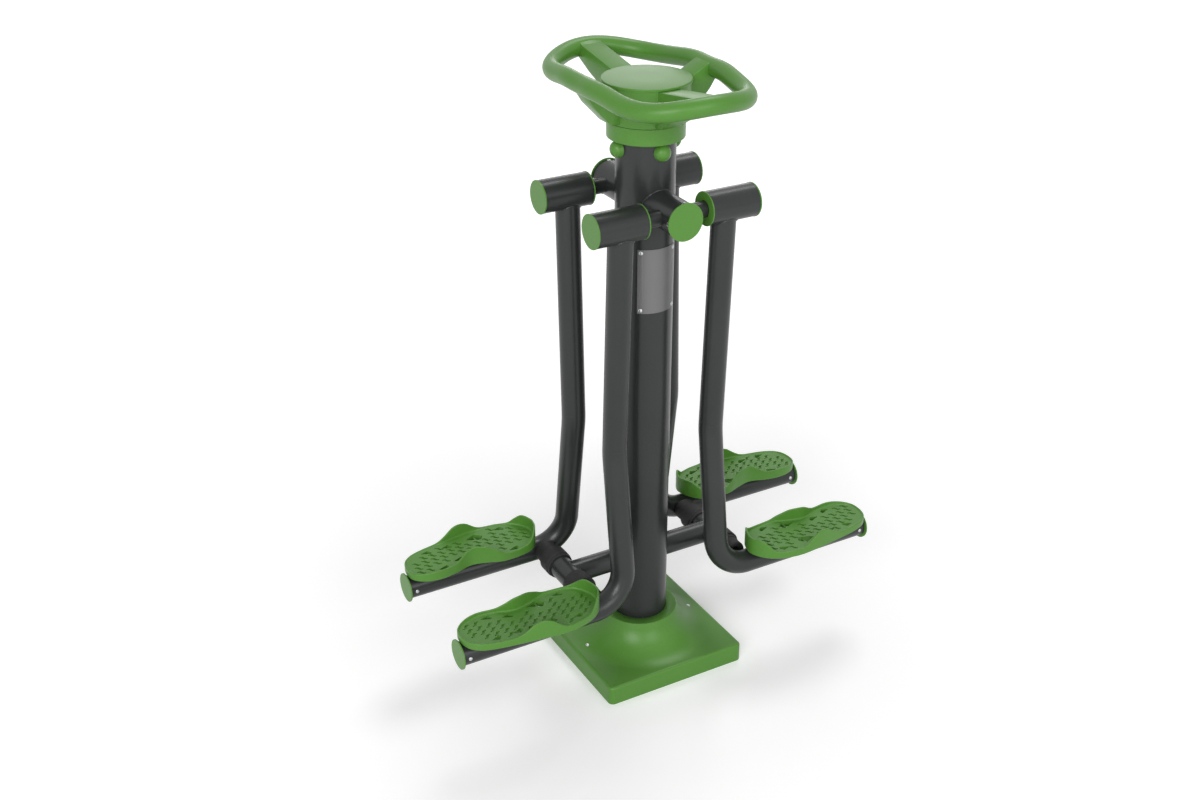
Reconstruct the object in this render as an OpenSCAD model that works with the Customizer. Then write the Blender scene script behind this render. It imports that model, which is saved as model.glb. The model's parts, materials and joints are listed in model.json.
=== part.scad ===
// Four-station leg swing on one post, for a park
// Millimetres, +Z up, origin on the ground in the middle of the post

/* [Post] */
// Outer diameter of the main post
post_d = 140; // [130:1:150]
// Wall of the main post
post_wall = 4; // [3:0.5:6]
// Height of the post's top end above the ground
post_top_z = 1500; // [1490:1:1520]

/* [Ground flange] */
// Side of the square ground flange
flange_side = 340; // [330:1:350]
// Thickness of the ground flange
flange_t = 12; // [8:1:16]
// Distance between two neighbouring anchor holes
anchor_pitch = 260; // [250:1:280]
// Diameter of an anchor hole
anchor_d = 18; // [14:1:22]
// Reach of a flange gusset from the post
gusset_reach = 50; // [30:1:60]
// Height of a flange gusset on the post
gusset_h = 40; // [20:1:45]
// Thickness of a flange gusset
gusset_t = 6; // [4:1:10]

/* [Base cover] */
// Side of the square base cover
cover_side = 395; // [390:1:420]
// Height of the cover's flat top
cover_h = 51; // [46:1:56]
// Radius of the cover's upright corners
cover_corner_r = 14; // [10:1:24]
// Radius of the cover's upper edge
cover_edge_r = 8; // [5:1:9]
// Wall of the cover
cover_wall = 3; // [2:0.5:4]
// Height of the raised collar round the post
boss_z = 128.5; // [120:0.5:135]
// Radius of the raised collar's top edge
boss_top_r = 98; // [92:1:104]
// Radius at which the collar's flank meets the flat top
boss_foot_r = 190; // [180:1:194]
// Distance of a cover screw from the post's centre along X
cover_screw_x = 161; // [158:1:164]
// Sideways shift of a cover screw along Y
cover_screw_y = 10; // [0:1:20]
// Diameter of a cover screw's shank
cover_screw_d = 6; // [5:0.5:6]
// Diameter of a cover screw's head
cover_screw_head_d = 11; // [9:0.5:12]
// Diameter of the flange's boss under a cover screw
screw_boss_d = 14; // [12:1:16]

/* [Stubs and axles] */
// Height of the hinge axes
hinge_z = 1256; // [1240:1:1270]
// Distance of the hinge axes from the post's centre along Y
hinge_y = 125; // [122:1:128]
// Outer diameter of the stub tubes
stub_d = 83; // [78:1:86]
// Wall of the stub tubes
stub_wall = 4; // [3:0.5:5]
// Distance of the stub tubes' open ends from the post's centre
stub_end_y = 174.5; // [170:0.5:180]
// Diameter of the stub caps
stub_cap_d = 90; // [88:1:94]
// Diameter of the axles between stub and housing
axle_d = 38; // [36:1:42]
// Diameter of the axles' threaded ends
axle_thread_d = 24; // [20:1:26]
// Width across flats of an axle nut
axle_nut_af = 36; // [34:1:38]
// Thickness of an axle nut
axle_nut_t = 12; // [10:1:13]

/* [Hinge housings] */
// Distance of a housing's inner ring from the post's centre
housing_in_x = 81.5; // [80:0.5:84]
// Length of a housing with both its caps
housing_len = 131; // [128:1:134]
// Outer diameter of a housing tube
housing_d = 79; // [77:1:81]
// Diameter of the housing caps
housing_cap_d = 80.5; // [79:0.5:84]
// Bore of a bearing
bearing_id = 30; // [28:1:32]
// Outer diameter of a bearing and bore of its housing
bearing_od = 72; // [70:1:73]
// Width of a bearing
bearing_w = 19; // [17:1:20]
// Depth of the inner bearing in the housing tube
bearing_in_depth = 6; // [5:0.5:8]
// Depth of the outer bearing in the housing tube
bearing_out_depth = 18; // [17:0.5:20]

/* [Swing arms] */
// Distance of an arm's hanging tube from the post's centre along X
arm_x = 136; // [133:1:139]
// Diameter of an arm tube
arm_d = 59.6; // [56:0.2:62]
// Wall of an arm tube
arm_wall = 3; // [2.5:0.5:4]
// Distance of the kink from the post's centre along Y
kink_y = 102.8; // [101:0.2:106]
// Height of the kink
kink_z = 668.6; // [640:0.2:700]
// Centre line radius of the kink
kink_r = 200; // [150:5:300]
// Distance of a foot bar from the post's centre along Y
foot_y = 157.4; // [155:0.2:160]
// Height of a foot bar's centre line
foot_z = 278.8; // [275:0.2:283]
// Centre line radius of the bend at a foot bar's inner end
foot_bend_r = 88; // [80:1:92]
// Distance of a foot bar's open end from the post's centre
foot_end_x = 586; // [584:1:600]
// Diameter of the discs on the foot bars' ends
end_disc_d = 74; // [70:1:78]
// Distance of an end rivet from the open end
end_rivet_in = 16; // [12:1:20]

/* [Foot plates] */
// Distance of a foot plate's toe end from the post's centre
plate_x = 223.5; // [222:0.5:226]
// Distance of a foot plate's heel end from the foot bar's open end
plate_heel_in = 3.5; // [3:0.5:12]
// Height of a foot plate's lower edge above the foot bar
plate_lift = 4; // [3:0.5:6]
// Height of a foot plate's deck above the foot bar
deck_h = 20; // [16:0.5:21]
// Thickness of the deck
deck_t = 5; // [4:0.5:6]
// Wall of a foot plate
plate_wall = 5; // [4:0.5:6]
// Width of the saddle between the deck and the foot bar
saddle_w = 24; // [20:1:28]
// Distance of the saddle's ends from the ends of the deck
saddle_in = 24; // [16:1:40]
// How far the saddle reaches down beside the foot bar's top
saddle_drop = 1.5; // [1:0.25:2.5]
// Height of the rim at the toe, above the foot bar
toe_rim_h = 51; // [46:1:56]
// Height of the outer rim at the ball of the foot
ball_out_h = 22; // [21:0.5:24]
// Height of the inner rim at the ball of the foot
ball_in_h = 26; // [22:0.5:30]
// Height of the rim at the wings
wing_rim_h = 54; // [48:1:58]
// Height of the rim at the heel
heel_rim_h = 23; // [20:1:28]
// Diameter of a foot plate bolt
plate_bolt_d = 8; // [6:1:8]
// Diameter of a foot plate bolt's flat head
plate_bolt_head_d = 18; // [15:1:20]
// Thickness of a foot plate bolt's head
plate_bolt_head_t = 3; // [2:0.5:3]
// Distance of the foot plate bolts from the ends of the plate
plate_bolt_in = 84; // [80:1:90]
// Length of a small drain hole along the plate
drain_len = 24; // [16:1:26]
// Width of a small drain hole at its widest
drain_w = 12; // [8:1:13]
// How many times larger the drain holes beside the wings are
drain_growth = 1.8; // [1.4:0.1:2]
// Length of a tread slot across the plate
tread_len = 16; // [12:1:18]
// Width of a tread slot
tread_w = 3; // [2:0.5:4]
// Depth of a tread slot
tread_depth = 2; // [1:0.5:2.5]
// Distance between two rows of tread slots
tread_pitch = 15; // [14:1:18]

/* [Stops] */
// Height of the stop tubes' centre lines
stop_z = 289; // [284:1:292]
// Distance of a stop tube from the post's centre
stop_x = 212; // [205:1:214]
// Diameter of the cross tubes
cross_d = 58; // [54:1:60]
// Diameter of the stop tubes
stop_d = 59; // [56:1:60]
// Wall of the cross tubes and stop tubes
stop_wall = 3; // [2.5:0.5:4]
// Half length of a stop tube
stop_half_len = 80; // [76:1:84]
// Diameter of a rubber buffer's sleeve
buffer_d = 72; // [68:1:76]
// Distance of a buffer sleeve's inner end from the cross tube's centre line
buffer_in_y = 38; // [36:1:42]
// Length of a buffer's sleeve
buffer_sleeve_len = 47; // [45:1:50]
// Diameter of a buffer's nose
nose_d = 58; // [56:1:60]
// Distance of a nose's end from the post's centre along Y
nose_end_y = 125.6; // [120:0.1:125.7]
// Diameter of the hollow in a buffer's nose
nose_hollow_d = 34; // [28:1:40]
// Depth of the hollow in a buffer's nose
nose_hollow_depth = 25; // [20:1:30]

/* [Hand wheel] */
// Mean radius of the rim's centre line
rim_mean_r = 215; // [210:1:220]
// Radius that the rim loses across and gains along
rim_oval = 59; // [54:1:62]
// Height of the rim's waves in plan that square its corners
rim_square = 5.4; // [4:0.2:7]
// Height of the six finer waves in plan
rim_six = 2.7; // [2:0.1:3.4]
// Height of the finest waves in plan
rim_fine = 0.9; // [0.5:0.1:1.3]
// Height of the rim's centre line above the post's top
rim_h = 42; // [36:1:48]
// How far the rim's two long ends sag below its sides
rim_sag = 1.9; // [1:0.1:3]
// Height of the rim's four waves
rim_wave = 5.5; // [4:0.1:7]
// Height of the rim's six finer waves
rim_ripple = 3.7; // [2.5:0.1:5]
// Diameter of the rim
rim_d = 42; // [38:1:46]
// Width of a spoke
spoke_w = 50; // [44:1:56]
// Height of a spoke's top where it meets the hub, above the post's top
spoke_top_h = 33; // [24:1:34]
// Drop of a spoke's underside at the hub, below the post's top
spoke_root_drop = 48; // [42:1:50]
// Radius of the hub
hub_r = 100; // [96:1:103]
// Radius of the hub's neck
neck_r = 90; // [88:1:94]
// Height of the hub's body above the post's top
hub_h = 34; // [32:1:36]
// Depth of the hub's neck below the post's top
neck_drop = 54; // [52:1:60]
// Depth at which the neck starts to widen, below the post's top
neck_flare_drop = 22; // [18:1:26]
// Length of the neck's flare
neck_flare = 14; // [10:1:16]
// Wall of the spigot that sits in the post
spigot_wall = 5; // [4:0.5:7]
// Radius of the lid on the hub
lid_r = 103.3; // [102:0.1:106]
// Thickness of the lid
lid_t = 6.5; // [5:0.5:9]
// Radius of the plug under the lid
lid_plug_r = 60; // [40:1:70]
// Depth of the plug under the lid
lid_plug_depth = 8; // [5:0.5:10]
// Height of the collar under the hub
collar_h = 43; // [38:1:48]
// Radius of the collar's lower edge
collar_low_r = 77; // [76:1:80]
// Height of the collar's chamfer
collar_chamfer = 5; // [3:0.5:8]

/* [Wheel bolts] */
// Distance of the wheel bolts below the collar
wheel_bolt_drop = 18; // [18:1:22]
// Diameter of a wheel bolt
wheel_bolt_d = 12; // [10:1:14]
// Width across flats of a wheel bolt's head
wheel_bolt_af = 18; // [16:1:18]
// Thickness of a wheel bolt's head
wheel_bolt_head_t = 7.5; // [6:0.5:8]
// Radius of a bolt cap's dome
bolt_cap_r = 17.5; // [16:0.5:17.5]
// Radius of the hollow in a bolt cap
bolt_cap_hollow_r = 12; // [11.5:0.5:13]

/* [Label plate] */
// Width of the label plate along the bend
label_w = 106; // [90:1:120]
// Height of the label plate
label_h = 160; // [140:1:180]
// Thickness of the label plate
label_t = 1; // [0.6:0.2:2]
// Height of the label plate's centre
label_z = 1076; // [1060:1:1090]
// Distance between the label rivets and the plate's edges
label_rivet_in = 8; // [6:0.5:12]

/* [Small fixings] */
// Thickness of the green discs on tube ends
disc_t = 3; // [2:0.5:4]
// Length of the plugs behind the green discs
plug_len = 26; // [22:1:30]
// Wall of the plugs
plug_wall = 4; // [3:0.5:6]
// Diameter of a blind rivet
rivet_d = 5; // [4:0.5:6]
// Diameter of a blind rivet's head
rivet_head_d = 10; // [8:0.5:12]
// Height of a blind rivet's head
rivet_head_h = 2; // [1.5:0.25:3]
// Distance of a stub rivet from the stub's open end
stub_rivet_in = 6; // [5:0.5:9]

/* [Fits] */
// Radial running clearance between a journal and its bearing
running_fit = 0.03; // [0.02:0.01:0.08]
// Gap between pieces of different bodies that face each other
free_gap = 0.3; // [0.2:0.05:0.4]
// Gap round a bolt, rivet, plug or axle in its hole
hole_gap = 0.1; // [0.05:0.05:0.2]
// Gap between a seal ring and its axle
seal_gap = 0.5; // [0.3:0.1:1]

/* [Hidden] */
$fn = 96;

green = [0.33, 0.56, 0.22];
charcoal = [0.16, 0.17, 0.17];
zinc = [0.7, 0.71, 0.72];
black_rubber = [0.07, 0.07, 0.07];
label_grey = [0.5, 0.5, 0.5];

// Small overlap of a cutting shape past the face that it cuts, and of fused lengths of tube
cut = 1;
// How much fatter a bend is than the straight tube
bend_swell = 0.1;

// How far a thread stands out past its nut
thread_past_nut = 2;
// A rivet nut's outer diameter, as a share of its bolt's diameter
rivet_nut_share = 1.5;

post_r = post_d / 2;
post_bore_r = post_r - post_wall;

// Name, side along X and side along Y of each station
STATIONS = [
    ["left_rear", -1, 1],
    ["left_front", -1, -1],
    ["right_front", 1, -1],
    ["right_rear", 1, 1]
];
ARM_PIECES = [
    "housing", "arm", "bearings", "outer_cap", "seal_ring",
    "footplate", "footplate_rim", "footplate_bolts", "end_cap", "end_rivets"
];
STAND_PIECES = [
    "base_flange", "base_cover", "base_cover_screws", "post",
    "stubs", "stub_caps", "stub_cap_rivets", "axles", "axle_nuts",
    "hand_wheel", "hub_lid", "wheel_collar", "wheel_bolts", "wheel_bolt_caps",
    "label_plate", "label_rivets",
    "stop_cross_tubes", "stop_tubes", "buffers"
];

// Hexagon's corner radius for a width across flats
function hex_r(af) = af / sqrt(3);

// Housing and bearing places along one axle, as distances from the post's centre
tube_in_x = housing_in_x + disc_t;
tube_out_x = housing_in_x + housing_len - disc_t;
bearing_in_x = tube_in_x + bearing_in_depth;
bearing_out_x = tube_out_x - bearing_out_depth;
nut_in_x = bearing_out_x + free_gap;
axle_end_x = nut_in_x + axle_nut_t + thread_past_nut;
housing_r = housing_d / 2;

// Arm path: angles from plumb above and below the kink, and the straight runs
upper_lean = atan2(hinge_y - kink_y, hinge_z - kink_z);
lower_lean = atan2(foot_y - kink_y, kink_z - foot_z);
kink_turn = upper_lean + lower_lean;
kink_tangent = kink_r * tan(kink_turn / 2);
upper_run = norm([hinge_y - kink_y, hinge_z - kink_z]) - kink_tangent;
lower_run = norm([foot_y - kink_y, kink_z - foot_z]) - kink_tangent - foot_bend_r;
foot_run = foot_end_x - arm_x - foot_bend_r;
arm_r = arm_d / 2;

// Base cover
boss_fillet_r = boss_foot_r - boss_top_r;
boss_fillet_z = cover_h + boss_fillet_r;
function cover_top_z(r) = boss_fillet_z - sqrt(pow(boss_fillet_r, 2) - pow(boss_foot_r - r, 2));
cover_screw_r = norm([cover_screw_x, cover_screw_y]);
screw_seat_z = cover_top_z(cover_screw_r) - cover_wall / 3;
screw_boss_z = cover_top_z(cover_screw_r + screw_boss_d / 2) - cover_wall;

// Wheel stack
neck_z = post_top_z - neck_drop;
collar_z = neck_z - collar_h;
wheel_bolt_z = collar_z - wheel_bolt_drop;
hub_top_z = post_top_z + hub_h;
spigot_r = post_bore_r - hole_gap;
spigot_z = wheel_bolt_z - wheel_bolt_drop;
spoke_root_r = (post_r + neck_r) / 2;
// Flat face of a wheel bolt's nut, whose corners lie against the spigot's bore
wheel_nut_x = sqrt(pow(spigot_r - spigot_wall, 2) - pow(hex_r(wheel_bolt_af), 2)) - hole_gap;

// Foot plate: corners of its outline, as distance from the toe end and outward reach from the foot bar,
// for a plate of shape_len, and the side views of its outer and inner rims
bar_top_z = foot_z + arm_r;
plate_z = bar_top_z + plate_lift;
deck_z = bar_top_z + deck_h;
plate_len = foot_end_x - plate_heel_in - plate_x;
shape_len = 357;
plate_outline = [
    [0, 22], [14, 50], [38, 71], [72, 85], [118, 91], [182, 85], [245, 76], [291, 68],
    [328, 56], [349, 35], [357, 4], [352, -26], [328, -48], [289, -56], [246, -50],
    [200, -37], [156, -47], [118, -60], [73, -59], [36, -49], [15, -29], [3, -4]
];
plate_steps = 4;
outer_rim = [
    [0, toe_rim_h], [16, toe_rim_h - 1], [30, ball_out_h + 12], [46, ball_out_h + 1],
    [80, ball_out_h], [112, ball_out_h], [134, wing_rim_h - 22], [158, wing_rim_h - 6],
    [182, wing_rim_h], [206, wing_rim_h - 6], [232, wing_rim_h - 22], [256, ball_out_h + 2],
    [300, ball_out_h], [340, heel_rim_h - 1], [357, heel_rim_h]
];
inner_rim = [
    [0, toe_rim_h], [16, toe_rim_h - 1], [30, ball_in_h + 10], [48, ball_in_h + 1],
    [80, ball_in_h - 1], [110, ball_in_h], [132, wing_rim_h - 18], [158, wing_rim_h - 4],
    [182, wing_rim_h], [204, wing_rim_h - 2], [228, wing_rim_h - 16], [252, ball_in_h + 4],
    [300, ball_in_h + 3], [340, heel_rim_h + 1], [357, heel_rim_h]
];
function along_plate(x) = x * plate_len / shape_len;

// Smooth curves through the points of a list, closed and open
function wrap(list, i) = list[(i + len(list)) % len(list)];
function curve_point(a, b, c, d, t) =
    0.5 * (2 * b + (c - a) * t + (2 * a - 5 * b + 4 * c - d) * t * t + (3 * b - a - 3 * c + d) * t * t * t);
function smooth_loop(list, steps) = [
    for (i = [0:len(list) - 1], k = [0:steps - 1])
        curve_point(wrap(list, i - 1), wrap(list, i), wrap(list, i + 1), wrap(list, i + 2), k / steps)
];
function smooth_line(list, steps) = [
    for (i = [0:len(list) - 2], k = [0:steps - 1])
        curve_point(list[max(i - 1, 0)], list[i], list[i + 1], list[min(i + 2, len(list) - 1)], k / steps),
    list[len(list) - 1]
];
function unit(v) = v / norm(v);
// The loop moved sideways by a distance, positive towards its left
function shifted_loop(loop, distance) = [
    for (i = [0:len(loop) - 1])
        let (run = unit(wrap(loop, i + 1) - wrap(loop, i - 1)))
            loop[i] + distance * [-run[1], run[0]]
];
plate_loop = smooth_loop([for (q = plate_outline) [along_plate(q[0]), q[1]]], plate_steps);

// Straight and bent lengths of tube along the local +Z, and the place where a bend ends.
// A straight run reaches into its bends, which are a hair fatter, so that they fuse
module run_of_tube(length, r, lap_before, lap_after) {
    translate([0, 0, -lap_before]) cylinder(h = length + lap_before + lap_after, r = r);
}
module bend_of_tube(angle, bend_r, r) {
    translate([bend_r, 0, 0]) rotate([90, 0, 180])
        rotate_extrude(angle = angle) translate([bend_r, 0]) circle(r + bend_swell);
}
module after_bend(angle, bend_r) {
    translate([bend_r, 0, 0]) rotate([0, angle, 0]) translate([-bend_r, 0, 0]) children();
}
module tube_x(length, r) {
    rotate([0, 90, 0]) cylinder(h = length, r = r);
}
module tube_y(length, r) {
    rotate([-90, 0, 0]) cylinder(h = length, r = r);
}
module ring_x(length, r, bore_r) {
    difference() {
        tube_x(length, r);
        translate([-cut, 0, 0]) tube_x(length + 2 * cut, bore_r);
    }
}
module ring_y(length, r, bore_r) {
    difference() {
        tube_y(length, r);
        translate([0, -cut, 0]) tube_y(length + 2 * cut, bore_r);
    }
}
// Domed head that stands on the plane z = 0
module domed_head(d, h) {
    rotate_extrude() polygon(concat(
        [[0, 0]],
        [for (a = [0:15:75]) [d / 2 * cos(a), h * sin(a)]],
        [[0, h]]
    ));
}
// Rivet along +X, with the head's flat face in the plane x = 0 and the shank behind it
module rivet(shank_len) {
    rotate([0, 90, 0]) domed_head(rivet_head_d, rivet_head_h);
    translate([-shank_len, 0, 0]) tube_x(shank_len, rivet_d / 2);
}
module hex_prism_x(length, af) {
    rotate([0, 90, 0]) cylinder(h = length, r = hex_r(af), $fn = 6);
}
// The four sides of the post at which a thing repeats
module on_four_sides() {
    for (turn = [0:90:270]) rotate([0, 0, turn]) children();
}
// A station's pieces are drawn for +X and +Y and mirrored into place
module front_and_rear() {
    children();
    mirror([0, 1, 0]) children();
}
module at_station(side_x, side_y) {
    mirror([side_x < 0 ? 1 : 0, 0, 0]) mirror([0, side_y < 0 ? 1 : 0, 0]) children();
}

// Ground flange
module base_flange() {
    color(charcoal) difference() {
        union() {
            translate([-flange_side / 2, -flange_side / 2, 0]) cube([flange_side, flange_side, flange_t]);
            for (side = [-1, 1]) rotate([0, 0, side < 0 ? 180 : 0])
                translate([cover_screw_x, cover_screw_y, flange_t - cut])
                    cylinder(h = screw_boss_z - flange_t + cut, d = screw_boss_d);
            on_four_sides() rotate([0, 0, 45]) flange_gusset();
        }
        for (x = [-1, 1], y = [-1, 1])
            translate([x * anchor_pitch / 2, y * anchor_pitch / 2, -cut])
                cylinder(h = flange_t + 2 * cut, d = anchor_d);
        for (side = [-1, 1]) rotate([0, 0, side < 0 ? 180 : 0])
            translate([cover_screw_x, cover_screw_y, flange_t])
                cylinder(h = screw_boss_z, d = cover_screw_d + 2 * hole_gap);
    }
}
module flange_gusset() {
    translate([0, gusset_t / 2, flange_t]) rotate([90, 0, 0]) linear_extrude(gusset_t)
        polygon([[post_r, -cut], [post_r + gusset_reach, -cut], [post_r, gusset_h]]);
}

// Base cover: a rounded slab with a flared collar, hollow from below
module cover_slab(side, height, corner_r, edge_r) {
    at = side / 2 - corner_r;
    hull() for (x = [-1, 1], y = [-1, 1]) translate([x * at, y * at, 0]) rotate_extrude($fn = 32) {
        square([corner_r, height - edge_r]);
        square([corner_r - edge_r, height]);
        translate([corner_r - edge_r, height - edge_r]) intersection() {
            circle(edge_r, $fn = 32);
            square(edge_r);
        }
    }
}
module cover_boss(inset) {
    start = asin((boss_fillet_z - (boss_z - inset)) / (boss_fillet_r + inset));
    rotate_extrude() polygon(concat(
        [[0, 0], [boss_foot_r, 0]],
        [for (k = [0:10]) let (a = 90 - (90 - start) * k / 10)
            [boss_foot_r - (boss_fillet_r + inset) * cos(a),
             boss_fillet_z - (boss_fillet_r + inset) * sin(a)]],
        [[0, boss_z - inset]]
    ));
}
module base_cover() {
    color(green) difference() {
        union() {
            cover_slab(cover_side, cover_h, cover_corner_r, cover_edge_r);
            cover_boss(0);
        }
        translate([0, 0, -cut])
            cover_slab(cover_side - 2 * cover_wall, cover_h - cover_wall + cut,
                       cover_corner_r - cover_wall, cover_edge_r - cover_wall);
        cover_boss(cover_wall);
        cylinder(h = boss_z + cut, r = post_r + free_gap);
        for (side = [-1, 1]) rotate([0, 0, side < 0 ? 180 : 0])
            translate([cover_screw_x, cover_screw_y, 0]) {
                cylinder(h = 2 * cover_h, d = cover_screw_d + 2 * hole_gap);
                translate([0, 0, screw_seat_z]) cylinder(h = cover_h, d = cover_screw_head_d + 2 * hole_gap);
            }
    }
}
module base_cover_screws() {
    color(zinc) for (side = [-1, 1]) rotate([0, 0, side < 0 ? 180 : 0])
        translate([cover_screw_x, cover_screw_y, 0]) {
            translate([0, 0, flange_t]) cylinder(h = screw_seat_z - flange_t, d = cover_screw_d);
            translate([0, 0, screw_seat_z]) domed_head(cover_screw_head_d, cover_wall);
        }
}

// Post with the holes for the wheel bolts
module post() {
    color(charcoal) difference() {
        translate([0, 0, flange_t]) cylinder(h = post_top_z - flange_t, r = post_r);
        translate([0, 0, flange_t - cut]) cylinder(h = post_top_z, r = post_bore_r);
        on_four_sides() translate([post_bore_r - cut, 0, wheel_bolt_z])
            tube_x(post_wall + 2 * cut, wheel_bolt_d / 2 + hole_gap);
        label_rivet_places() tube_x(post_wall + cut, rivet_d / 2 + hole_gap);
    }
}

// Stubs: welded to the post and crossed by the axles; drawn towards +Y
module stub() {
    color(charcoal) difference() {
        translate([0, 0, hinge_z]) tube_y(stub_end_y, stub_d / 2);
        translate([0, 0, hinge_z]) tube_y(stub_end_y + cut, stub_d / 2 - stub_wall);
        cylinder(h = hinge_z + stub_d, r = post_r);
        translate([-stub_d, hinge_y, hinge_z]) tube_x(2 * stub_d, axle_d / 2 + hole_gap);
        stub_rivet_places() translate([-stub_wall - cut, 0, 0])
            tube_x(stub_wall + 2 * cut, rivet_d / 2 + hole_gap);
    }
}
module stub_rivet_places() {
    for (turn = [0:90:270])
        translate([0, stub_end_y - stub_rivet_in, hinge_z]) rotate([0, turn, 0])
            translate([stub_d / 2, 0, 0]) children();
}
// Disc and plug for a tube that points along +Y, with its open end in the plane y = 0
module end_plug(disc_d, tube_r) {
    tube_y(disc_t, disc_d / 2);
    translate([0, -plug_len / 2, 0])
        ring_y(plug_len / 2, tube_r - hole_gap, tube_r - hole_gap - plug_wall);
}
module stub_cap() {
    color(green) difference() {
        translate([0, stub_end_y, hinge_z]) end_plug(stub_cap_d, stub_d / 2 - stub_wall);
        stub_rivet_places() translate([-stub_wall - plug_wall - cut, 0, 0])
            tube_x(plug_wall + stub_wall, rivet_d / 2 + hole_gap);
    }
}
module stub_cap_rivets() {
    color(zinc) for (side = [0, 1]) mirror([0, side, 0])
        stub_rivet_places() rivet(stub_wall + plug_wall);
}

// Axles: stepped down to a journal in each housing and to a thread for the nut
module axle() {
    color(zinc) translate([0, hinge_y, hinge_z]) for (side = [0, 1]) mirror([side, 0, 0]) {
        tube_x(bearing_in_x - free_gap, axle_d / 2);
        tube_x(nut_in_x, bearing_id / 2);
        tube_x(axle_end_x, axle_thread_d / 2);
    }
}
module axle_nuts() {
    color(zinc) for (side_x = [0, 1], side_y = [0, 1]) mirror([side_x, 0, 0]) mirror([0, side_y, 0])
        translate([nut_in_x, hinge_y, hinge_z]) difference() {
            hex_prism_x(axle_nut_t, axle_nut_af);
            translate([-cut, 0, 0]) tube_x(axle_nut_t + 2 * cut, axle_thread_d / 2);
        }
}

// Hand wheel
function rim_r(t) = rim_mean_r - rim_oval * cos(2 * t) + rim_square * cos(4 * t)
    + rim_six * cos(6 * t) - rim_fine * (cos(8 * t) + cos(10 * t));
function rim_z(t) = post_top_z + rim_h + rim_sag * cos(2 * t) + rim_wave * cos(4 * t)
    - rim_ripple * cos(6 * t);
function rim_point(t) = [rim_r(t) * cos(t), rim_r(t) * sin(t), rim_z(t)];
rim_rings = 72;
rim_sides = 10;
function rim_section(t) =
    let (along = unit(rim_point(t + 1) - rim_point(t - 1)),
         out = unit(cross(along, [0, 0, 1])),
         up = cross(out, along))
    [for (k = [0:rim_sides - 1]) let (a = 360 * k / rim_sides)
        rim_point(t) + rim_d / 2 * (cos(a) * out + sin(a) * up)];
module rim() {
    points = [for (i = [0:rim_rings - 1]) each rim_section(360 * i / rim_rings)];
    faces = [for (i = [0:rim_rings - 1], k = [0:rim_sides - 1])
        let (j = (i + 1) % rim_rings, m = (k + 1) % rim_sides)
        [i * rim_sides + k, i * rim_sides + m, j * rim_sides + m, j * rim_sides + k]];
    polyhedron(points, faces, convexity = 6);
}
// A spoke along +X, seen from the side: deep at the hub and thin under the rim
module spoke(t) {
    rim_at = rim_r(t);
    rim_low = rim_z(t) - rim_d / 4;
    rim_high = rim_z(t) + rim_d / 3;
    rotate([90, 0, t]) translate([0, 0, -spoke_w / 2]) linear_extrude(spoke_w)
        polygon([[spoke_root_r, post_top_z - spoke_root_drop],
                 [hub_r, post_top_z - spoke_root_drop],
                 [rim_at, rim_low],
                 [rim_at, rim_high],
                 [rim_at - rim_d / 3, rim_high],
                 [lid_r + free_gap, post_top_z + spoke_top_h],
                 [spoke_root_r, post_top_z + spoke_top_h]]);
}
module hub() {
    rotate_extrude() polygon([
        [0, post_top_z], [0, hub_top_z], [hub_r, hub_top_z],
        [hub_r, post_top_z - neck_flare_drop + neck_flare], [neck_r, post_top_z - neck_flare_drop],
        [neck_r, neck_z], [post_r + hole_gap, neck_z], [post_r + hole_gap, post_top_z],
        [spigot_r, post_top_z], [spigot_r, spigot_z], [spigot_r - spigot_wall, spigot_z],
        [spigot_r - spigot_wall, post_top_z]
    ]);
}
module hand_wheel() {
    color(green) difference() {
        union() {
            rim();
            for (t = [0:90:270]) spoke(t);
            hub();
        }
        translate([0, 0, hub_top_z - lid_plug_depth - cut])
            cylinder(h = lid_plug_depth + 2 * cut, r = lid_plug_r + hole_gap);
        on_four_sides() translate([spigot_r - spigot_wall - cut, 0, wheel_bolt_z])
            tube_x(spigot_wall + 2 * cut, wheel_bolt_d / 2 + hole_gap);
    }
}
module hub_lid() {
    color(green) translate([0, 0, hub_top_z]) {
        cylinder(h = lid_t, r = lid_r);
        translate([0, 0, -lid_plug_depth]) cylinder(h = lid_plug_depth, r = lid_plug_r);
    }
}
module wheel_collar() {
    color(green) rotate_extrude() polygon([
        [post_r + hole_gap, collar_z], [collar_low_r, collar_z],
        [neck_r, collar_z + collar_chamfer], [neck_r, neck_z], [post_r + hole_gap, neck_z]
    ]);
}
module wheel_bolts() {
    color(zinc) on_four_sides() translate([post_r, 0, wheel_bolt_z]) {
        hex_prism_x(wheel_bolt_head_t, wheel_bolt_af);
        translate([-post_wall - spigot_wall - wheel_bolt_d, 0, 0])
            tube_x(post_wall + spigot_wall + wheel_bolt_d, wheel_bolt_d / 2);
        translate([wheel_nut_x - wheel_bolt_head_t - post_r, 0, 0])
            hex_prism_x(wheel_bolt_head_t, wheel_bolt_af);
    }
}
module wheel_bolt_caps() {
    color(green) difference() {
        on_four_sides() translate([post_r, 0, wheel_bolt_z]) sphere(bolt_cap_r);
        cylinder(h = wheel_bolt_z + bolt_cap_r + cut, r = post_r);
        on_four_sides() translate([0, 0, wheel_bolt_z])
            tube_x(post_r + wheel_bolt_head_t + cut, bolt_cap_hollow_r);
    }
}

// Label plate on the post's front, left bare
label_angle = label_w / post_r * 180 / PI;
module label_plate() {
    color(label_grey) difference() {
        rotate([0, 0, -90 - label_angle / 2]) rotate_extrude(angle = label_angle)
            translate([post_r + hole_gap, label_z - label_h / 2]) square([label_t, label_h]);
        label_rivet_places() tube_x(post_wall + label_t + cut, rivet_d / 2 + hole_gap);
    }
}
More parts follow.
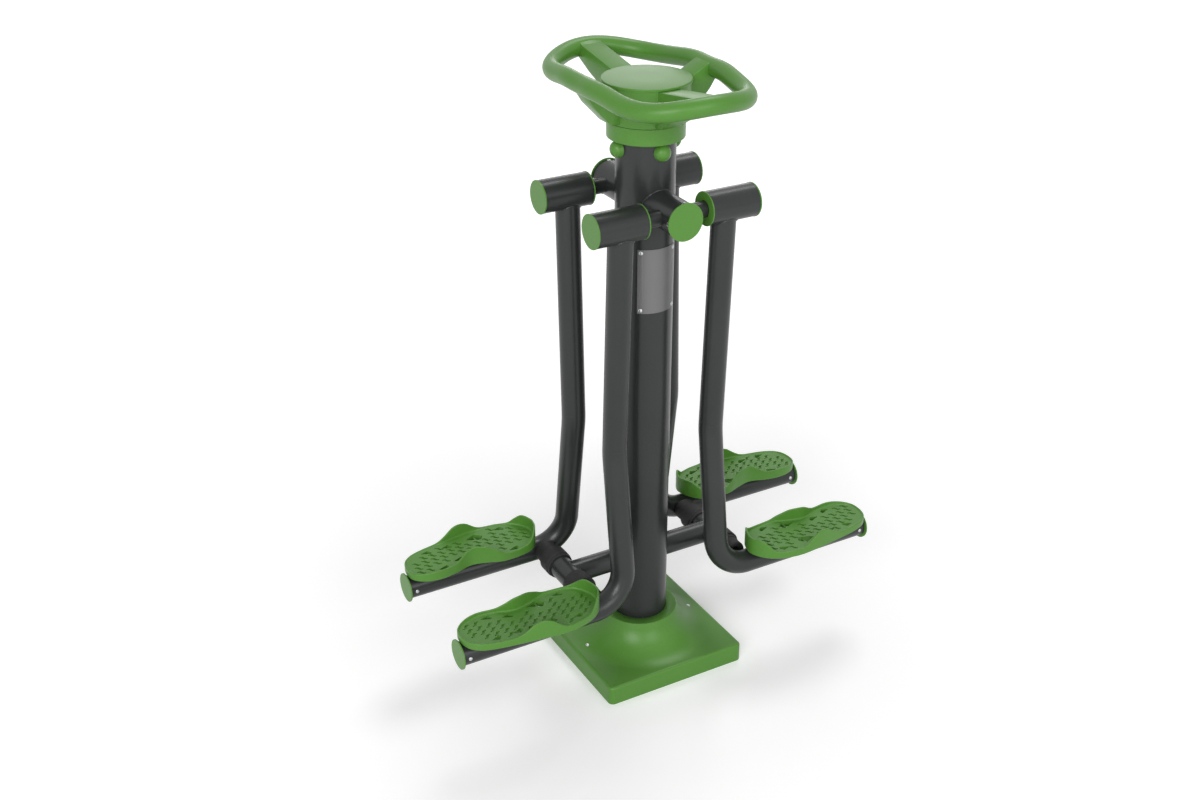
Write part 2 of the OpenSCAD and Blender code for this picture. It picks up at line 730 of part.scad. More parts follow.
// Places where the label rivets enter, with +X outwards and its origin inside the post's wall
module label_rivet_places() {
    turn = label_angle / 2 - label_rivet_in / post_r * 180 / PI;
    for (side = [-1, 1], end = [-1, 1])
        rotate([0, 0, -90 + side * turn])
            translate([post_r - post_wall - cut / 2, 0, label_z + end * (label_h / 2 - label_rivet_in)])
                children();
}
module label_rivets() {
    reach = post_wall + hole_gap + label_t + cut / 2;
    color(zinc) label_rivet_places() translate([reach, 0, 0]) rivet(reach);
}

// Stops for the arms: a cross tube each way and a stop tube along the swing
module stop_cross_tubes() {
    color(charcoal) for (side = [0, 1]) mirror([side, 0, 0]) difference() {
        translate([0, 0, stop_z]) tube_x(stop_x, cross_d / 2);
        translate([0, 0, stop_z]) tube_x(stop_x, cross_d / 2 - stop_wall);
        cylinder(h = stop_z + cross_d, r = post_r);
        translate([stop_x, -cross_d, stop_z]) tube_y(2 * cross_d, stop_d / 2);
    }
}
module stop_tubes() {
    color(charcoal) for (side = [-1, 1]) translate([side * stop_x, -stop_half_len, stop_z])
        ring_y(2 * stop_half_len, stop_d / 2, stop_d / 2 - stop_wall);
}
module buffers() {
    nose_y = buffer_in_y + buffer_sleeve_len;
    color(black_rubber) for (side_x = [0, 1], side_y = [0, 1])
        mirror([side_x, 0, 0]) mirror([0, side_y, 0]) translate([stop_x, 0, stop_z]) difference() {
            union() {
                translate([0, buffer_in_y, 0]) tube_y(buffer_sleeve_len, buffer_d / 2);
                translate([0, nose_y, 0]) tube_y(nose_end_y - nose_y, nose_d / 2);
            }
            tube_y(stop_half_len + hole_gap, stop_d / 2 + hole_gap);
            translate([0, nose_end_y - nose_hollow_depth, 0])
                tube_y(nose_hollow_depth + cut, nose_hollow_d / 2);
        }
}

// Hinge housing with its bearings and caps; drawn for +X and +Y, as is all of an arm
module housing() {
    color(charcoal) translate([tube_in_x, hinge_y, hinge_z])
        ring_x(tube_out_x - tube_in_x, housing_r, bearing_od / 2);
}
module bearings() {
    race = (bearing_od - bearing_id) / 8;
    color(zinc) for (x = [bearing_in_x, bearing_out_x - bearing_w])
        translate([x, hinge_y, hinge_z]) difference() {
            ring_x(bearing_w, bearing_od / 2, bearing_id / 2 + running_fit);
            for (face = [-cut, bearing_w - cut]) translate([face, 0, 0])
                ring_x(2 * cut, bearing_od / 2 - race, bearing_id / 2 + race);
        }
}
module outer_cap() {
    color(green) translate([tube_out_x, hinge_y, hinge_z]) {
        tube_x(disc_t, housing_cap_d / 2);
        translate([-disc_t, 0, 0])
            ring_x(disc_t, bearing_od / 2 - hole_gap, bearing_od / 2 - hole_gap - plug_wall);
    }
}
module seal_ring() {
    color(green) translate([housing_in_x, hinge_y, hinge_z]) {
        ring_x(disc_t, housing_cap_d / 2, axle_d / 2 + seal_gap);
        translate([disc_t, 0, 0])
            ring_x(disc_t, bearing_od / 2 - hole_gap, bearing_od / 2 - hole_gap - plug_wall);
    }
}

// Arm: down from the housing, through the kink and round into the foot bar
module arm_path(r, past_end) {
    translate([arm_x, hinge_y, hinge_z]) rotate([180 - upper_lean, 0, 0]) {
        run_of_tube(upper_run, r, 0, cut);
        translate([0, 0, upper_run]) rotate([0, 0, -90]) {
            bend_of_tube(kink_turn, kink_r, r);
            after_bend(kink_turn, kink_r) rotate([0, 0, 90]) {
                run_of_tube(lower_run, r, cut, cut);
                translate([0, 0, lower_run]) {
                    bend_of_tube(90, foot_bend_r, r);
                    after_bend(90, foot_bend_r) run_of_tube(foot_run, r, cut, past_end);
                }
            }
        }
    }
}
module plate_bolt_places() {
    for (x = [plate_bolt_in, plate_len - plate_bolt_in])
        translate([plate_x + x, foot_y, 0]) children();
}
module arm() {
    color(charcoal) difference() {
        arm_path(arm_r, 0);
        arm_path(arm_r - arm_wall, cut);
        translate([tube_in_x, hinge_y, hinge_z]) tube_x(tube_out_x - tube_in_x, housing_r);
        plate_bolt_places() translate([0, 0, foot_z])
            cylinder(h = arm_d, d = plate_bolt_d + 2 * hole_gap);
        end_rivet_places() translate([-arm_wall - cut, 0, 0])
            tube_x(arm_wall + 2 * cut, rivet_d / 2 + hole_gap);
    }
}
// Places on both sides of the foot bar's end, with +X outwards and the origin on the tube
module end_rivet_places() {
    for (turn = [90, -90])
        translate([foot_end_x - end_rivet_in, foot_y, foot_z]) rotate([0, 0, turn])
            translate([arm_r, 0, 0]) children();
}
module end_cap() {
    bore_r = arm_r - arm_wall - hole_gap;
    color(green) difference() {
        union() {
            translate([foot_end_x, foot_y, foot_z]) tube_x(disc_t, end_disc_d / 2);
            translate([foot_end_x - plug_len, foot_y, foot_z]) ring_x(plug_len, bore_r, bore_r - plug_wall);
        }
        end_rivet_places() translate([-arm_wall - plug_wall - cut, 0, 0])
            tube_x(plug_wall + arm_wall, rivet_d / 2 + hole_gap);
    }
}
module end_rivets() {
    color(zinc) end_rivet_places() rivet(arm_wall + plug_wall);
}

// Foot plate: a deck with a saddle, and round the deck a rim whose height follows the side views
module plate_area(inset) {
    translate([plate_x, foot_y]) polygon(shifted_loop(plate_loop, inset));
}
// One side of the rim's shape seen from the side, as a block that reaches outward from the foot bar
module rim_block(rim) {
    line = smooth_line([for (q = rim) [along_plate(q[0]), q[1]]], plate_steps);
    translate([plate_x, 0, bar_top_z]) rotate([90, 0, 0]) linear_extrude(shape_len / 2)
        polygon(concat([[-cut, plate_lift], [-cut, toe_rim_h]], line,
                       [[plate_len + cut, heel_rim_h], [plate_len + cut, plate_lift]]));
}
module footplate_rim() {
    color(green) intersection() {
        translate([0, 0, plate_z]) linear_extrude(2 * wing_rim_h) difference() {
            plate_area(0);
            plate_area(-plate_wall);
        }
        union() {
            translate([0, foot_y, 0]) mirror([0, 1, 0]) rim_block(outer_rim);
            translate([0, foot_y, 0]) rim_block(inner_rim);
        }
    }
}
// Drain holes and tread slots, drawn in the foot plate's plan
module drain_hole(growth) {
    scale(growth) polygon([[drain_len / 2, drain_w / 6], [-drain_len / 4, drain_w / 2],
                           [-drain_len / 2, -drain_w / 6], [-drain_len / 4, -drain_w / 2]]);
}
module plate_drains() {
    for (at = [[78, 60, 1], [151, 50, drain_growth], [232, 46, 1], [288, 46, 1],
               [82, -39, 1], [147, -27, drain_growth], [228, -18, 1], [276, -34, 1]])
        translate([plate_x + along_plate(at[0]), foot_y + at[1]]) drain_hole(at[2]);
}
module plate_treads() {
    for (i = [2:floor(plate_len / tread_pitch) - 3], side = [-1, 1])
        translate([plate_x + i * tread_pitch, foot_y + side * tread_len * (i % 2 == 0 ? 1 : 0.8)])
            square([tread_w, tread_len], center = true);
}
module footplate() {
    color(green) difference() {
        union() {
            translate([0, 0, deck_z - deck_t]) linear_extrude(deck_t) plate_area(-plate_wall);
            translate([plate_x + saddle_in, foot_y - saddle_w / 2, bar_top_z - saddle_drop])
                cube([plate_len - 2 * saddle_in, saddle_w, deck_h + saddle_drop - deck_t / 2]);
        }
        translate([plate_x, foot_y, foot_z]) tube_x(plate_len, arm_r);
        translate([0, 0, deck_z - deck_t - cut]) linear_extrude(deck_t + 2 * cut) plate_drains();
        translate([0, 0, deck_z - tread_depth]) linear_extrude(tread_depth + cut) plate_treads();
        plate_bolt_places() translate([0, 0, foot_z])
            cylinder(h = deck_z - foot_z + cut, d = plate_bolt_d + 2 * hole_gap);
        plate_bolt_places() translate([0, 0, deck_z - plate_bolt_head_t])
            cylinder(h = plate_bolt_head_t + cut, d = plate_bolt_head_d + 2 * hole_gap);
    }
}
module footplate_bolts() {
    nut_r = rivet_nut_share * plate_bolt_d / 2;
    nut_top_z = foot_z + sqrt(pow(arm_r - arm_wall, 2) - pow(nut_r, 2)) - hole_gap;
    nut_z = nut_top_z - plate_bolt_d;
    end_z = nut_z - thread_past_nut;
    color(zinc) plate_bolt_places() {
        translate([0, 0, deck_z - plate_bolt_head_t])
            cylinder(h = plate_bolt_head_t, d = plate_bolt_head_d);
        translate([0, 0, end_z])
            cylinder(h = deck_z - plate_bolt_head_t - end_z, d = plate_bolt_d);
        translate([0, 0, nut_z]) cylinder(h = nut_top_z - nut_z, r = nut_r);
    }
}

base_flange();
base_cover();
base_cover_screws();
post();
front_and_rear() stub();  // stubs
front_and_rear() stub_cap();  // stub_caps
stub_cap_rivets();
front_and_rear() axle();  // axles
axle_nuts();
hand_wheel();
hub_lid();
wheel_collar();
wheel_bolts();
wheel_bolt_caps();
label_plate();
label_rivets();
stop_cross_tubes();
stop_tubes();
buffers();

for (s = STATIONS) at_station(s[1], s[2]) {
    housing();
    arm();
    bearings();
    outer_cap();
    seal_ring();
    footplate();
    footplate_rim();
    footplate_bolts();
    end_cap();
    end_rivets();
}
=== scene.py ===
"""Looks of a park leg swing station: a post with a hand wheel and four hanging legs.

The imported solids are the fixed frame. The pieces here take the place of the solids that need finer forms,
and every solid that stays gets soft edges and a procedural finish. Lengths in the pieces are millimetres.
"""

import json
import logging
import math
from dataclasses import dataclass, field
from enum import Enum
from typing import Any, Callable, Iterable, Sequence

import bmesh
import bpy
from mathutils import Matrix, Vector, geometry

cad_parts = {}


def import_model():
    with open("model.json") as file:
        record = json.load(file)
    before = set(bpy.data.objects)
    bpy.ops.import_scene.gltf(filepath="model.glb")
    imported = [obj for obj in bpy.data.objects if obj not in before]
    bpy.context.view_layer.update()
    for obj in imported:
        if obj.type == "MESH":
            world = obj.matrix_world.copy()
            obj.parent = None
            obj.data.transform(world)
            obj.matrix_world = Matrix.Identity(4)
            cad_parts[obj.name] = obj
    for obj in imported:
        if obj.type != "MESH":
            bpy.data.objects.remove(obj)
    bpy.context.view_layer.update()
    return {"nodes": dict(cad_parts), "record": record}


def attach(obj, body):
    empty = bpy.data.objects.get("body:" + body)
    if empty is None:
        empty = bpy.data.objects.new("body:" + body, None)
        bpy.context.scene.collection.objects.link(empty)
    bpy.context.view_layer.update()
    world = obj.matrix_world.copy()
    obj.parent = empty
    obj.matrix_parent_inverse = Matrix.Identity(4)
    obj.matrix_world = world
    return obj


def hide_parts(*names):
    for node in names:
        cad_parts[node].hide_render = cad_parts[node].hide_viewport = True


LOG = logging.getLogger("leg_swing")
MM = 0.001
AXIS_R = 0.4  # turned forms stop this far from their axis, so that no face is a sliver
BAR_Y = 157.4  # centre line of the foot bars
STOP_X = 212.0  # centre line of the stop tubes
STOP_Z = 289.0

Point = tuple[float, float, float]
Flat = tuple[float, float]
Colour = tuple[float, float, float]


class Station(Enum):
    """The four legs, each with its side along X and its side along Y."""

    LEFT_REAR = ("left_rear", -1, 1)
    LEFT_FRONT = ("left_front", -1, -1)
    RIGHT_FRONT = ("right_front", 1, -1)
    RIGHT_REAR = ("right_rear", 1, 1)

    @property
    def prefix(self) -> str:
        """Start of the names of this leg's pieces."""
        return self.value[0]

    @property
    def body(self) -> str:
        """Name of the moving body that this leg is."""
        return self.value[0] + "_leg"

    @property
    def sides(self) -> tuple[int, int]:
        """Signs of the leg's X and Y."""
        return self.value[1], self.value[2]


class Slot(Enum):
    """The record's material slots."""

    GREEN = "green_plastic"
    CHARCOAL = "charcoal_paint"
    GALVANISED = "galvanised"
    BRIGHT = "bright_steel"
    LABEL = "label_metal"
    RUBBER = "black_rubber"


# Plane and space helpers


def turned(spot: Flat, turn: float) -> Flat:
    """A point turned about the origin."""
    return (spot[0] * math.cos(turn) - spot[1] * math.sin(turn),
            spot[0] * math.sin(turn) + spot[1] * math.cos(turn))


def about_post(z: float, r: float, a: float) -> Point:
    """Point at a height, a distance from the post's axis and an angle."""
    return (r * math.cos(a), r * math.sin(a), z)


def round_angles(count: int) -> list[float]:
    """Angles of points that lie evenly round a circle."""
    return [2 * math.pi * k / count for k in range(count)]


def spans(loop: Sequence[Flat]) -> list[tuple[float, float]]:
    """Mean place and half width of a loop, along X and then along Y."""
    return [(sum(line) / len(line), (max(line) - min(line)) / 2) for line in zip(*loop)]


def smooth_loop(points: Sequence[Flat], steps: int) -> list[Flat]:
    """Smooth closed curve through the points.

    Args:
        points: Corners that the curve passes through, in order.
        steps: Number of pieces between two corners.

    Returns:
        The points of the curve, without the first one repeated.
    """
    count = len(points)
    curve: list[Flat] = []
    for i in range(count):
        near = [points[(i + k) % count] for k in (-1, 0, 1, 2)]
        curve += [curve_point(near, k / steps) for k in range(steps)]
    return curve


def smooth_line(points: Sequence[Flat], steps: int) -> list[Flat]:
    """Smooth open curve through the points.

    Args:
        points: Points that the curve passes through, in order.
        steps: Number of pieces between two of them.

    Returns:
        The points of the curve, with both ends.
    """
    last = len(points) - 1
    curve: list[Flat] = []
    for i in range(last):
        near = [points[max(i - 1, 0)], points[i], points[i + 1], points[min(i + 2, last)]]
        curve += [curve_point(near, k / steps) for k in range(steps)]
    return curve + [points[last]]


def curve_point(near: Sequence[Flat], t: float) -> Flat:
    """Point of a smooth curve between the second and third of four points.

    Args:
        near: Four points in order.
        t: Place between the second point, 0, and the third, 1.

    Returns:
        The point of the curve.
    """
    a, b, c, d = near
    return tuple(
        0.5 * (2 * b[k] + (c[k] - a[k]) * t + (2 * a[k] - 5 * b[k] + 4 * c[k] - d[k]) * t * t
               + (3 * b[k] - a[k] - 3 * c[k] + d[k]) * t ** 3)
        for k in (0, 1))


def height_on(line: Sequence[Flat], x: float) -> float:
    """Height of a line, drawn from left to right, at a place along it.

    Args:
        line: Points as (place, height), with growing places.
        x: The place.

    Returns:
        The height there, or that of the nearer end.
    """
    if x <= line[0][0]:
        return line[0][1]
    for (x0, h0), (x1, h1) in zip(line, line[1:]):
        if x <= x1:
            return h0 + (h1 - h0) * (x - x0) / max(x1 - x0, 1e-6)
    return line[-1][1]


def moved_in(loop: Sequence[Flat], distance: float) -> list[Flat]:
    """A clockwise loop shrunk by a distance.

    Args:
        loop: Points of the loop.
        distance: How far each point moves inwards.

    Returns:
        The points of the smaller loop.
    """
    count = len(loop)
    out: list[Flat] = []
    for i in range(count):
        ahead, behind = loop[(i + 1) % count], loop[i - 1]
        dx, dy = ahead[0] - behind[0], ahead[1] - behind[1]
        size = math.hypot(dx, dy) or 1.0
        out.append((loop[i][0] + distance * dy / size, loop[i][1] - distance * dx / size))
    return out


def inside(loop: Sequence[Flat], x: float, y: float) -> bool:
    """Tells whether a point lies inside a loop.

    Args:
        loop: Points of the loop.
        x: First coordinate of the point.
        y: Second coordinate of the point.

    Returns:
        True if the point is inside.
    """
    result = False
    for (x0, y0), (x1, y1) in zip(loop, list(loop[1:]) + [loop[0]]):
        if (y0 > y) != (y1 > y) and x < (x1 - x0) * (y - y0) / (y1 - y0) + x0:
            result = not result
    return result


def area_of(loop: Sequence[Flat]) -> float:
    """Area inside a loop, negative if it runs clockwise."""
    return sum(a[0] * b[1] - b[0] * a[1] for a, b in zip(loop, list(loop[1:]) + [loop[0]])) / 2


def filleted(corners: Sequence[tuple[float, float, float]], steps: int = 5) -> list[Flat]:
    """Open line whose corners are rounded.

    Args:
        corners: Points as (place, height, radius of the rounding).
        steps: Number of pieces in each rounding.

    Returns:
        The points of the rounded line.
    """
    line: list[Flat] = []
    for i, (x, y, r) in enumerate(corners):
        if r <= 0 or i in (0, len(corners) - 1):
            line.append((x, y))
            continue
        here = Vector((x, y))
        to_last = (Vector(corners[i - 1][:2]) - here).normalized()
        to_next = (Vector(corners[i + 1][:2]) - here).normalized()
        half = to_last.angle(to_next) / 2
        reach = r / math.tan(half)
        start, end = here + to_last * reach, here + to_next * reach
        centre = here + (to_last + to_next).normalized() * (r / math.sin(half))
        for k in range(steps + 1):
            mixed = start.lerp(end, k / steps) - centre
            spot = centre + mixed.normalized() * r
            line.append((spot.x, spot.y))
    return line


class Draft:
    """Points and faces of one piece while it is drawn, in millimetres."""

    def __init__(self) -> None:
        """Starts an empty draft."""
        self.points: list[Point] = []
        self.faces: list[tuple[int, ...]] = []

    def loop(self, points: Iterable[Point]) -> list[int]:
        """Adds points.

        Args:
            points: The points.

        Returns:
            Their numbers in the draft.
        """
        start = len(self.points)
        self.points.extend(points)
        return list(range(start, len(self.points)))

    def bridge(self, first: Sequence[int], second: Sequence[int]) -> None:
        """Joins two rings of points by four-sided faces.

        Args:
            first: Numbers of the first ring.
            second: Numbers of the second ring, as many.
        """
        count = len(first)
        for i in range(count):
            j = (i + 1) % count
            self.faces.append((first[i], first[j], second[j], second[i]))

    def stack(self, rings: Sequence[Sequence[int]]) -> None:
        """Joins each ring of points with the next one."""
        for low, high in zip(rings, rings[1:]):
            self.bridge(low, high)

    def cap(self, ring: Sequence[int]) -> None:
        """Closes a ring with one face."""
        self.faces.append(tuple(ring))

    def sweep(self, path: Sequence[Point], radius: Callable[[int], float]) -> None:
        """Adds a closed bead that follows a closed path.

        Args:
            path: Points of the path.
            radius: Gives the bead's radius at a point's number.
        """
        sides = 10
        count = len(path)
        middle = sum((Vector(p) for p in path), Vector()) / count
        rings = []
        for i in range(count):
            along = (Vector(path[(i + 1) % count]) - Vector(path[i - 1])).normalized()
            out = Vector(path[i]) - middle
            out = (out - along * out.dot(along)).normalized()
            up = along.cross(out)
            rings.append(self.loop(
                tuple(Vector(path[i]) + radius(i) * (math.cos(a) * out + math.sin(a) * up))
                for a in round_angles(sides)))
        self.stack(rings + rings[:1])

    def lathe(self, profile: Sequence[Flat], place: Callable[[float, float, float], Point],
              sides: int) -> None:
        """Adds a turned form whose profile is closed.

        Args:
            profile: Points as (place along the axis, radius).
            place: Turns (place along the axis, radius, angle) into a point.
            sides: Number of sides round the axis.
        """
        rings = [self.loop(place(at, r, a) for a in round_angles(sides)) for at, r in profile]
        self.stack(rings + rings[:1])

    def to_object(self, name: str, sides: tuple[int, int] = (1, 1), sharp: float = 35.0,
                  closed: bool = True) -> bpy.types.Object:
        """Makes the mesh object.

        Args:
            name: Name of the piece.
            sides: Signs by which X and Y are mirrored.
            sharp: Angle in degrees above which an edge stays sharp.
            closed: Whether the draft is closed, so that its faces can all be turned outwards.

        Returns:
            The object, at the origin and in metres.
        """
        mesh = bpy.data.meshes.new(name)
        points = [(x * MM * sides[0], y * MM * sides[1], z * MM) for x, y, z in self.points]
        faces = self.faces if sides[0] * sides[1] > 0 else [tuple(reversed(f)) for f in self.faces]
        mesh.from_pydata(points, [], faces)
        shape = bmesh.new()
        shape.from_mesh(mesh)
        bmesh.ops.remove_doubles(shape, verts=shape.verts, dist=1e-6)
        if closed:
            bmesh.ops.recalc_face_normals(shape, faces=shape.faces)
        shape.to_mesh(mesh)
        shape.free()
        mesh.shade_smooth()
        mesh.set_sharp_from_angle(angle=math.radians(sharp))
        obj = bpy.data.objects.new(name, mesh)
        bpy.context.scene.collection.objects.link(obj)
        return obj


def flat_region(outline: Sequence[Flat],
                holes: Sequence[Sequence[Flat]]) -> tuple[list[Flat], list[tuple[int, ...]]]:
    """Fills an outline with triangles and leaves holes open.

    Args:
        outline: Points of the outer loop.
        holes: Loops of the holes.

    Returns:
        The points and the triangles.
    """
    spots: list[Vector] = []
    edges: list[tuple[int, int]] = []
    for loop in [outline, *holes]:
        start = len(spots)
        spots += [Vector(p) for p in loop]
        edges += [(start + i, start + (i + 1) % len(loop)) for i in range(len(loop))]
    found = geometry.delaunay_2d_cdt(spots, edges, [], 0, 1e-5)
    points = [(v.x, v.y) for v in found[0]]
    triangles = []
    for face in found[2]:
        x = sum(points[i][0] for i in face) / len(face)
        y = sum(points[i][1] for i in face) / len(face)
        if inside(outline, x, y) and not any(inside(hole, x, y) for hole in holes):
            triangles.append(tuple(face))
    return points, triangles


def settle(obj: bpy.types.Object, sharp: float) -> None:
    """Turns an own piece's modifiers into its mesh.

    Args:
        obj: The piece.
        sharp: Angle in degrees above which an edge stays sharp.
    """
    ready = obj.evaluated_get(bpy.context.evaluated_depsgraph_get())
    mesh = bpy.data.meshes.new_from_object(ready)
    obj.modifiers.clear()
    obj.data = mesh
    mesh.shade_smooth()
    mesh.set_sharp_from_angle(angle=math.radians(sharp))


# Shader helpers and shared effects


class Wiring:
    """Short way to place and join shader nodes in one tree."""

    def __init__(self, tree: bpy.types.NodeTree) -> None:
        """Remembers the tree."""
        self.tree = tree
        self.column = 0

    def node(self, kind: str, settings: dict[str, Any] | None = None, **inputs: Any) -> bpy.types.Node:
        """Places a node.

        Args:
            kind: The node's type name.
            settings: Values of the node's own properties.
            inputs: Values or sockets for its inputs, with spaces written as underscores.

        Returns:
            The node.
        """
        made = self.tree.nodes.new(kind)
        self.column += 1
        made.location = (self.column * 190, -40 * (self.column % 5))
        for key, value in (settings or {}).items():
            setattr(made, key, value)
        for key, value in inputs.items():
            self.put(made.inputs[int(key[1:])] if key[0] == "i" and key[1:].isdigit()
                     else made.inputs[key.replace("_", " ")], value)
        return made

    def put(self, socket: bpy.types.NodeSocket, value: Any) -> None:
        """Sets a socket to a number or colour, or joins it to another socket."""
        if isinstance(value, bpy.types.NodeSocket):
            self.tree.links.new(value, socket)
        else:
            colour = isinstance(value, tuple) and len(value) == 3 and len(socket.default_value) == 4
            socket.default_value = (*value, 1.0) if colour else value

    def math(self, operation: str, first: Any, second: Any = 0.0) -> bpy.types.NodeSocket:
        """Result of a sum on two values."""
        return self.node("ShaderNodeMath", {"operation": operation}, i0=first, i1=second).outputs[0]

    def spread(self, value: Any, low: float, high: float, to_low: float,
               to_high: float) -> bpy.types.NodeSocket:
        """Maps a value's range low to high onto another range, and holds it there."""
        return self.node("ShaderNodeMapRange", None, Value=value, From_Min=low, From_Max=high,
                         To_Min=to_low, To_Max=to_high).outputs[0]

    def blend(self, share: Any, first: Any, second: Any) -> bpy.types.NodeSocket:
        """Mixes two colours."""
        return self.node("ShaderNodeMix", {"data_type": "RGBA"}, i0=share, i6=first, i7=second).outputs[2]

    def noise(self, where: Any, scale: Any, detail: float) -> bpy.types.NodeSocket:
        """Noise from 0 to 1 at a place."""
        return self.node("ShaderNodeTexNoise", None, Vector=where, Scale=scale, Detail=detail).outputs[0]

    def place(self) -> bpy.types.NodeSocket:
        """The surface's place in its piece, in metres."""
        return self.node("ShaderNodeTexCoord").outputs["Object"]

    def seen(self) -> bpy.types.NodeSocket:
        """1 where the camera looks, straight or through a reflection or glass, and 0 for other light."""
        path = self.node("ShaderNodeLightPath").outputs
        return self.math("MAXIMUM", path["Is Camera Ray"],
                         self.math("MAXIMUM", path["Is Glossy Ray"], path["Is Transmission Ray"]))


def fresh_wiring(owner: bpy.types.Material | bpy.types.World) -> Wiring:
    """Empties the node tree of a material or world.

    Args:
        owner: The material or world.

    Returns:
        The wiring of its tree.
    """
    owner.use_nodes = True
    owner.node_tree.nodes.clear()
    return Wiring(owner.node_tree)


@dataclass(frozen=True)
class SharedEffect:
    """A shader node group that several finishes use."""

    name: str
    inputs: tuple[tuple[str, float], ...]
    outputs: tuple[str, ...]
    draw: Callable[[Wiring, bpy.types.Node], dict[str, bpy.types.NodeSocket]]

    def group(self) -> bpy.types.NodeTree:
        """Gives the node group, and builds it the first time.

        Returns:
            The group.
        """
        found = bpy.data.node_groups.get(self.name)
        if found:
            return found
        tree = bpy.data.node_groups.new(self.name, "ShaderNodeTree")
        for name, value in self.inputs:
            socket = tree.interface.new_socket(name, in_out="INPUT", socket_type="NodeSocketFloat")
            socket.default_value = value
        for name in self.outputs:
            tree.interface.new_socket(name, in_out="OUTPUT", socket_type="NodeSocketFloat")
        wiring = Wiring(tree)
        way_in = wiring.node("NodeGroupInput")
        results = self.draw(wiring, way_in)
        way_out = wiring.node("NodeGroupOutput")
        for name, socket in results.items():
            tree.links.new(socket, way_out.inputs[name])
        return tree

    def place(self, wiring: Wiring, **values: float) -> bpy.types.Node:
        """Places the effect in a material.

        Args:
            wiring: The material's wiring.
            values: Values of the effect's inputs.

        Returns:
            The group node.
        """
        node = wiring.tree.nodes.new("ShaderNodeGroup")
        node.node_tree = self.group()
        for name, value in values.items():
            node.inputs[name.replace("_", " ")].default_value = value
        return node


def draw_grain(w: Wiring, way_in: bpy.types.Node) -> dict[str, bpy.types.NodeSocket]:
    """Fine pebbled skin of moulded plastic or powder coat, with a coarser roll under it."""
    coarser = 0.09
    where = w.place()
    fine = w.noise(where, way_in.outputs["Scale"], 2.0)
    roll = w.noise(where, w.math("MULTIPLY", way_in.outputs["Scale"], coarser), 1.0)
    height = w.math("ADD", w.math("MULTIPLY", fine, way_in.outputs["Fine"]),
                    w.math("MULTIPLY", roll, way_in.outputs["Roll"]))
    return {"Height": height, "Grain": fine}


def draw_cloud(w: Wiring, way_in: bpy.types.Node) -> dict[str, bpy.types.NodeSocket]:
    """Slow change of tone over a surface, with a finer speckle in it."""
    finer, cloud_share, speckle_share = 55.0, 0.7, 0.3
    where = w.place()
    slow = w.noise(where, way_in.outputs["Scale"], 3.0)
    speckle = w.noise(where, w.math("MULTIPLY", way_in.outputs["Scale"], finer), 1.0)
    cloud = w.spread(slow, 0.3, 0.7, 0.0, 1.0)
    dots = w.spread(speckle, 0.35, 0.65, 0.0, 1.0)
    mixed = w.math("ADD", w.math("MULTIPLY", cloud, cloud_share), w.math("MULTIPLY", dots, speckle_share))
    return {"Cloud": mixed, "Speckle": dots}


def draw_wear(w: Wiring, way_in: bpy.types.Node) -> dict[str, bpy.types.NodeSocket]:
    """Rubbed edges: where the rounded normal leaves the face's own normal, broken up by noise."""
    patch_scale = 46.0
    round_normal = w.node("ShaderNodeBevel", {"samples": 4}, Radius=way_in.outputs["Radius"]).outputs[0]
    face_normal = w.node("ShaderNodeNewGeometry").outputs["Normal"]
    same = w.node("ShaderNodeVectorMath", {"operation": "DOT_PRODUCT"},
                  i0=round_normal, i1=face_normal).outputs[1]
    edge = w.spread(same, 0.995, 0.9, 0.0, 1.0)
    patch = w.spread(w.noise(w.place(), patch_scale, 3.0), 0.38, 0.62, 0.15, 1.0)
    return {"Wear": w.math("MULTIPLY", w.math("MULTIPLY", edge, patch), way_in.outputs["Amount"])}


def draw_dust(w: Wiring, way_in: bpy.types.Node) -> dict[str, bpy.types.NodeSocket]:
    """Thin dust on what faces up, in patches."""
    patch_scale = 9.0
    normal = w.node("ShaderNodeTexCoord").outputs["Normal"]
    up = w.node("ShaderNodeSeparateXYZ", None, Vector=normal).outputs[2]
    facing = w.spread(up, 0.55, 1.0, 0.0, 1.0)
    patch = w.spread(w.noise(w.place(), patch_scale, 4.0), 0.35, 0.7, 0.35, 1.0)
    return {"Dust": w.math("MULTIPLY", w.math("MULTIPLY", facing, patch), way_in.outputs["Amount"])}


GRAIN = SharedEffect("fine_grain", (("Scale", 900.0), ("Fine", 0.6), ("Roll", 0.4)), ("Height", "Grain"),
                     draw_grain)
CLOUD = SharedEffect("tone_cloud", (("Scale", 5.0),), ("Cloud", "Speckle"), draw_cloud)
WEAR = SharedEffect("edge_wear", (("Radius", 0.0015), ("Amount", 0.5)), ("Wear",), draw_wear)
DUST = SharedEffect("top_dust", (("Amount", 0.2),), ("Dust",), draw_dust)


class Finish:
    """What all finishes share: one material, built once, with a Principled shader."""

    name: str

    def material(self) -> bpy.types.Material:
        """Gives the material, and builds it the first time.

        Returns:
            The material.
        """
        found = bpy.data.materials.get(self.name)
        if found:
            return found
        made = bpy.data.materials.new(self.name)
        wiring = fresh_wiring(made)
        shader = wiring.node("ShaderNodeBsdfPrincipled")
        self.wire(wiring, shader)
        wiring.node("ShaderNodeOutputMaterial", None, Surface=shader.outputs[0])
        return made

    def wire(self, w: Wiring, shader: bpy.types.Node) -> None:
        """Joins the finish's effects to the shader."""
        raise NotImplementedError

    @staticmethod
    def bump(w: Wiring, shader: bpy.types.Node, height: bpy.types.NodeSocket, strength: float,
             distance: float) -> None:
        """Puts a height on the shader's normal.

        Args:
            w: The material's wiring.
            shader: The shader.
            height: The height, from 0 to 1.
            strength: Strength of the bump.
            distance: Height in metres that 1 stands for.
        """
        node = w.node("ShaderNodeBump", None, Strength=strength, Distance=distance, Height=height)
        w.tree.links.new(node.outputs[0], shader.inputs["Normal"])


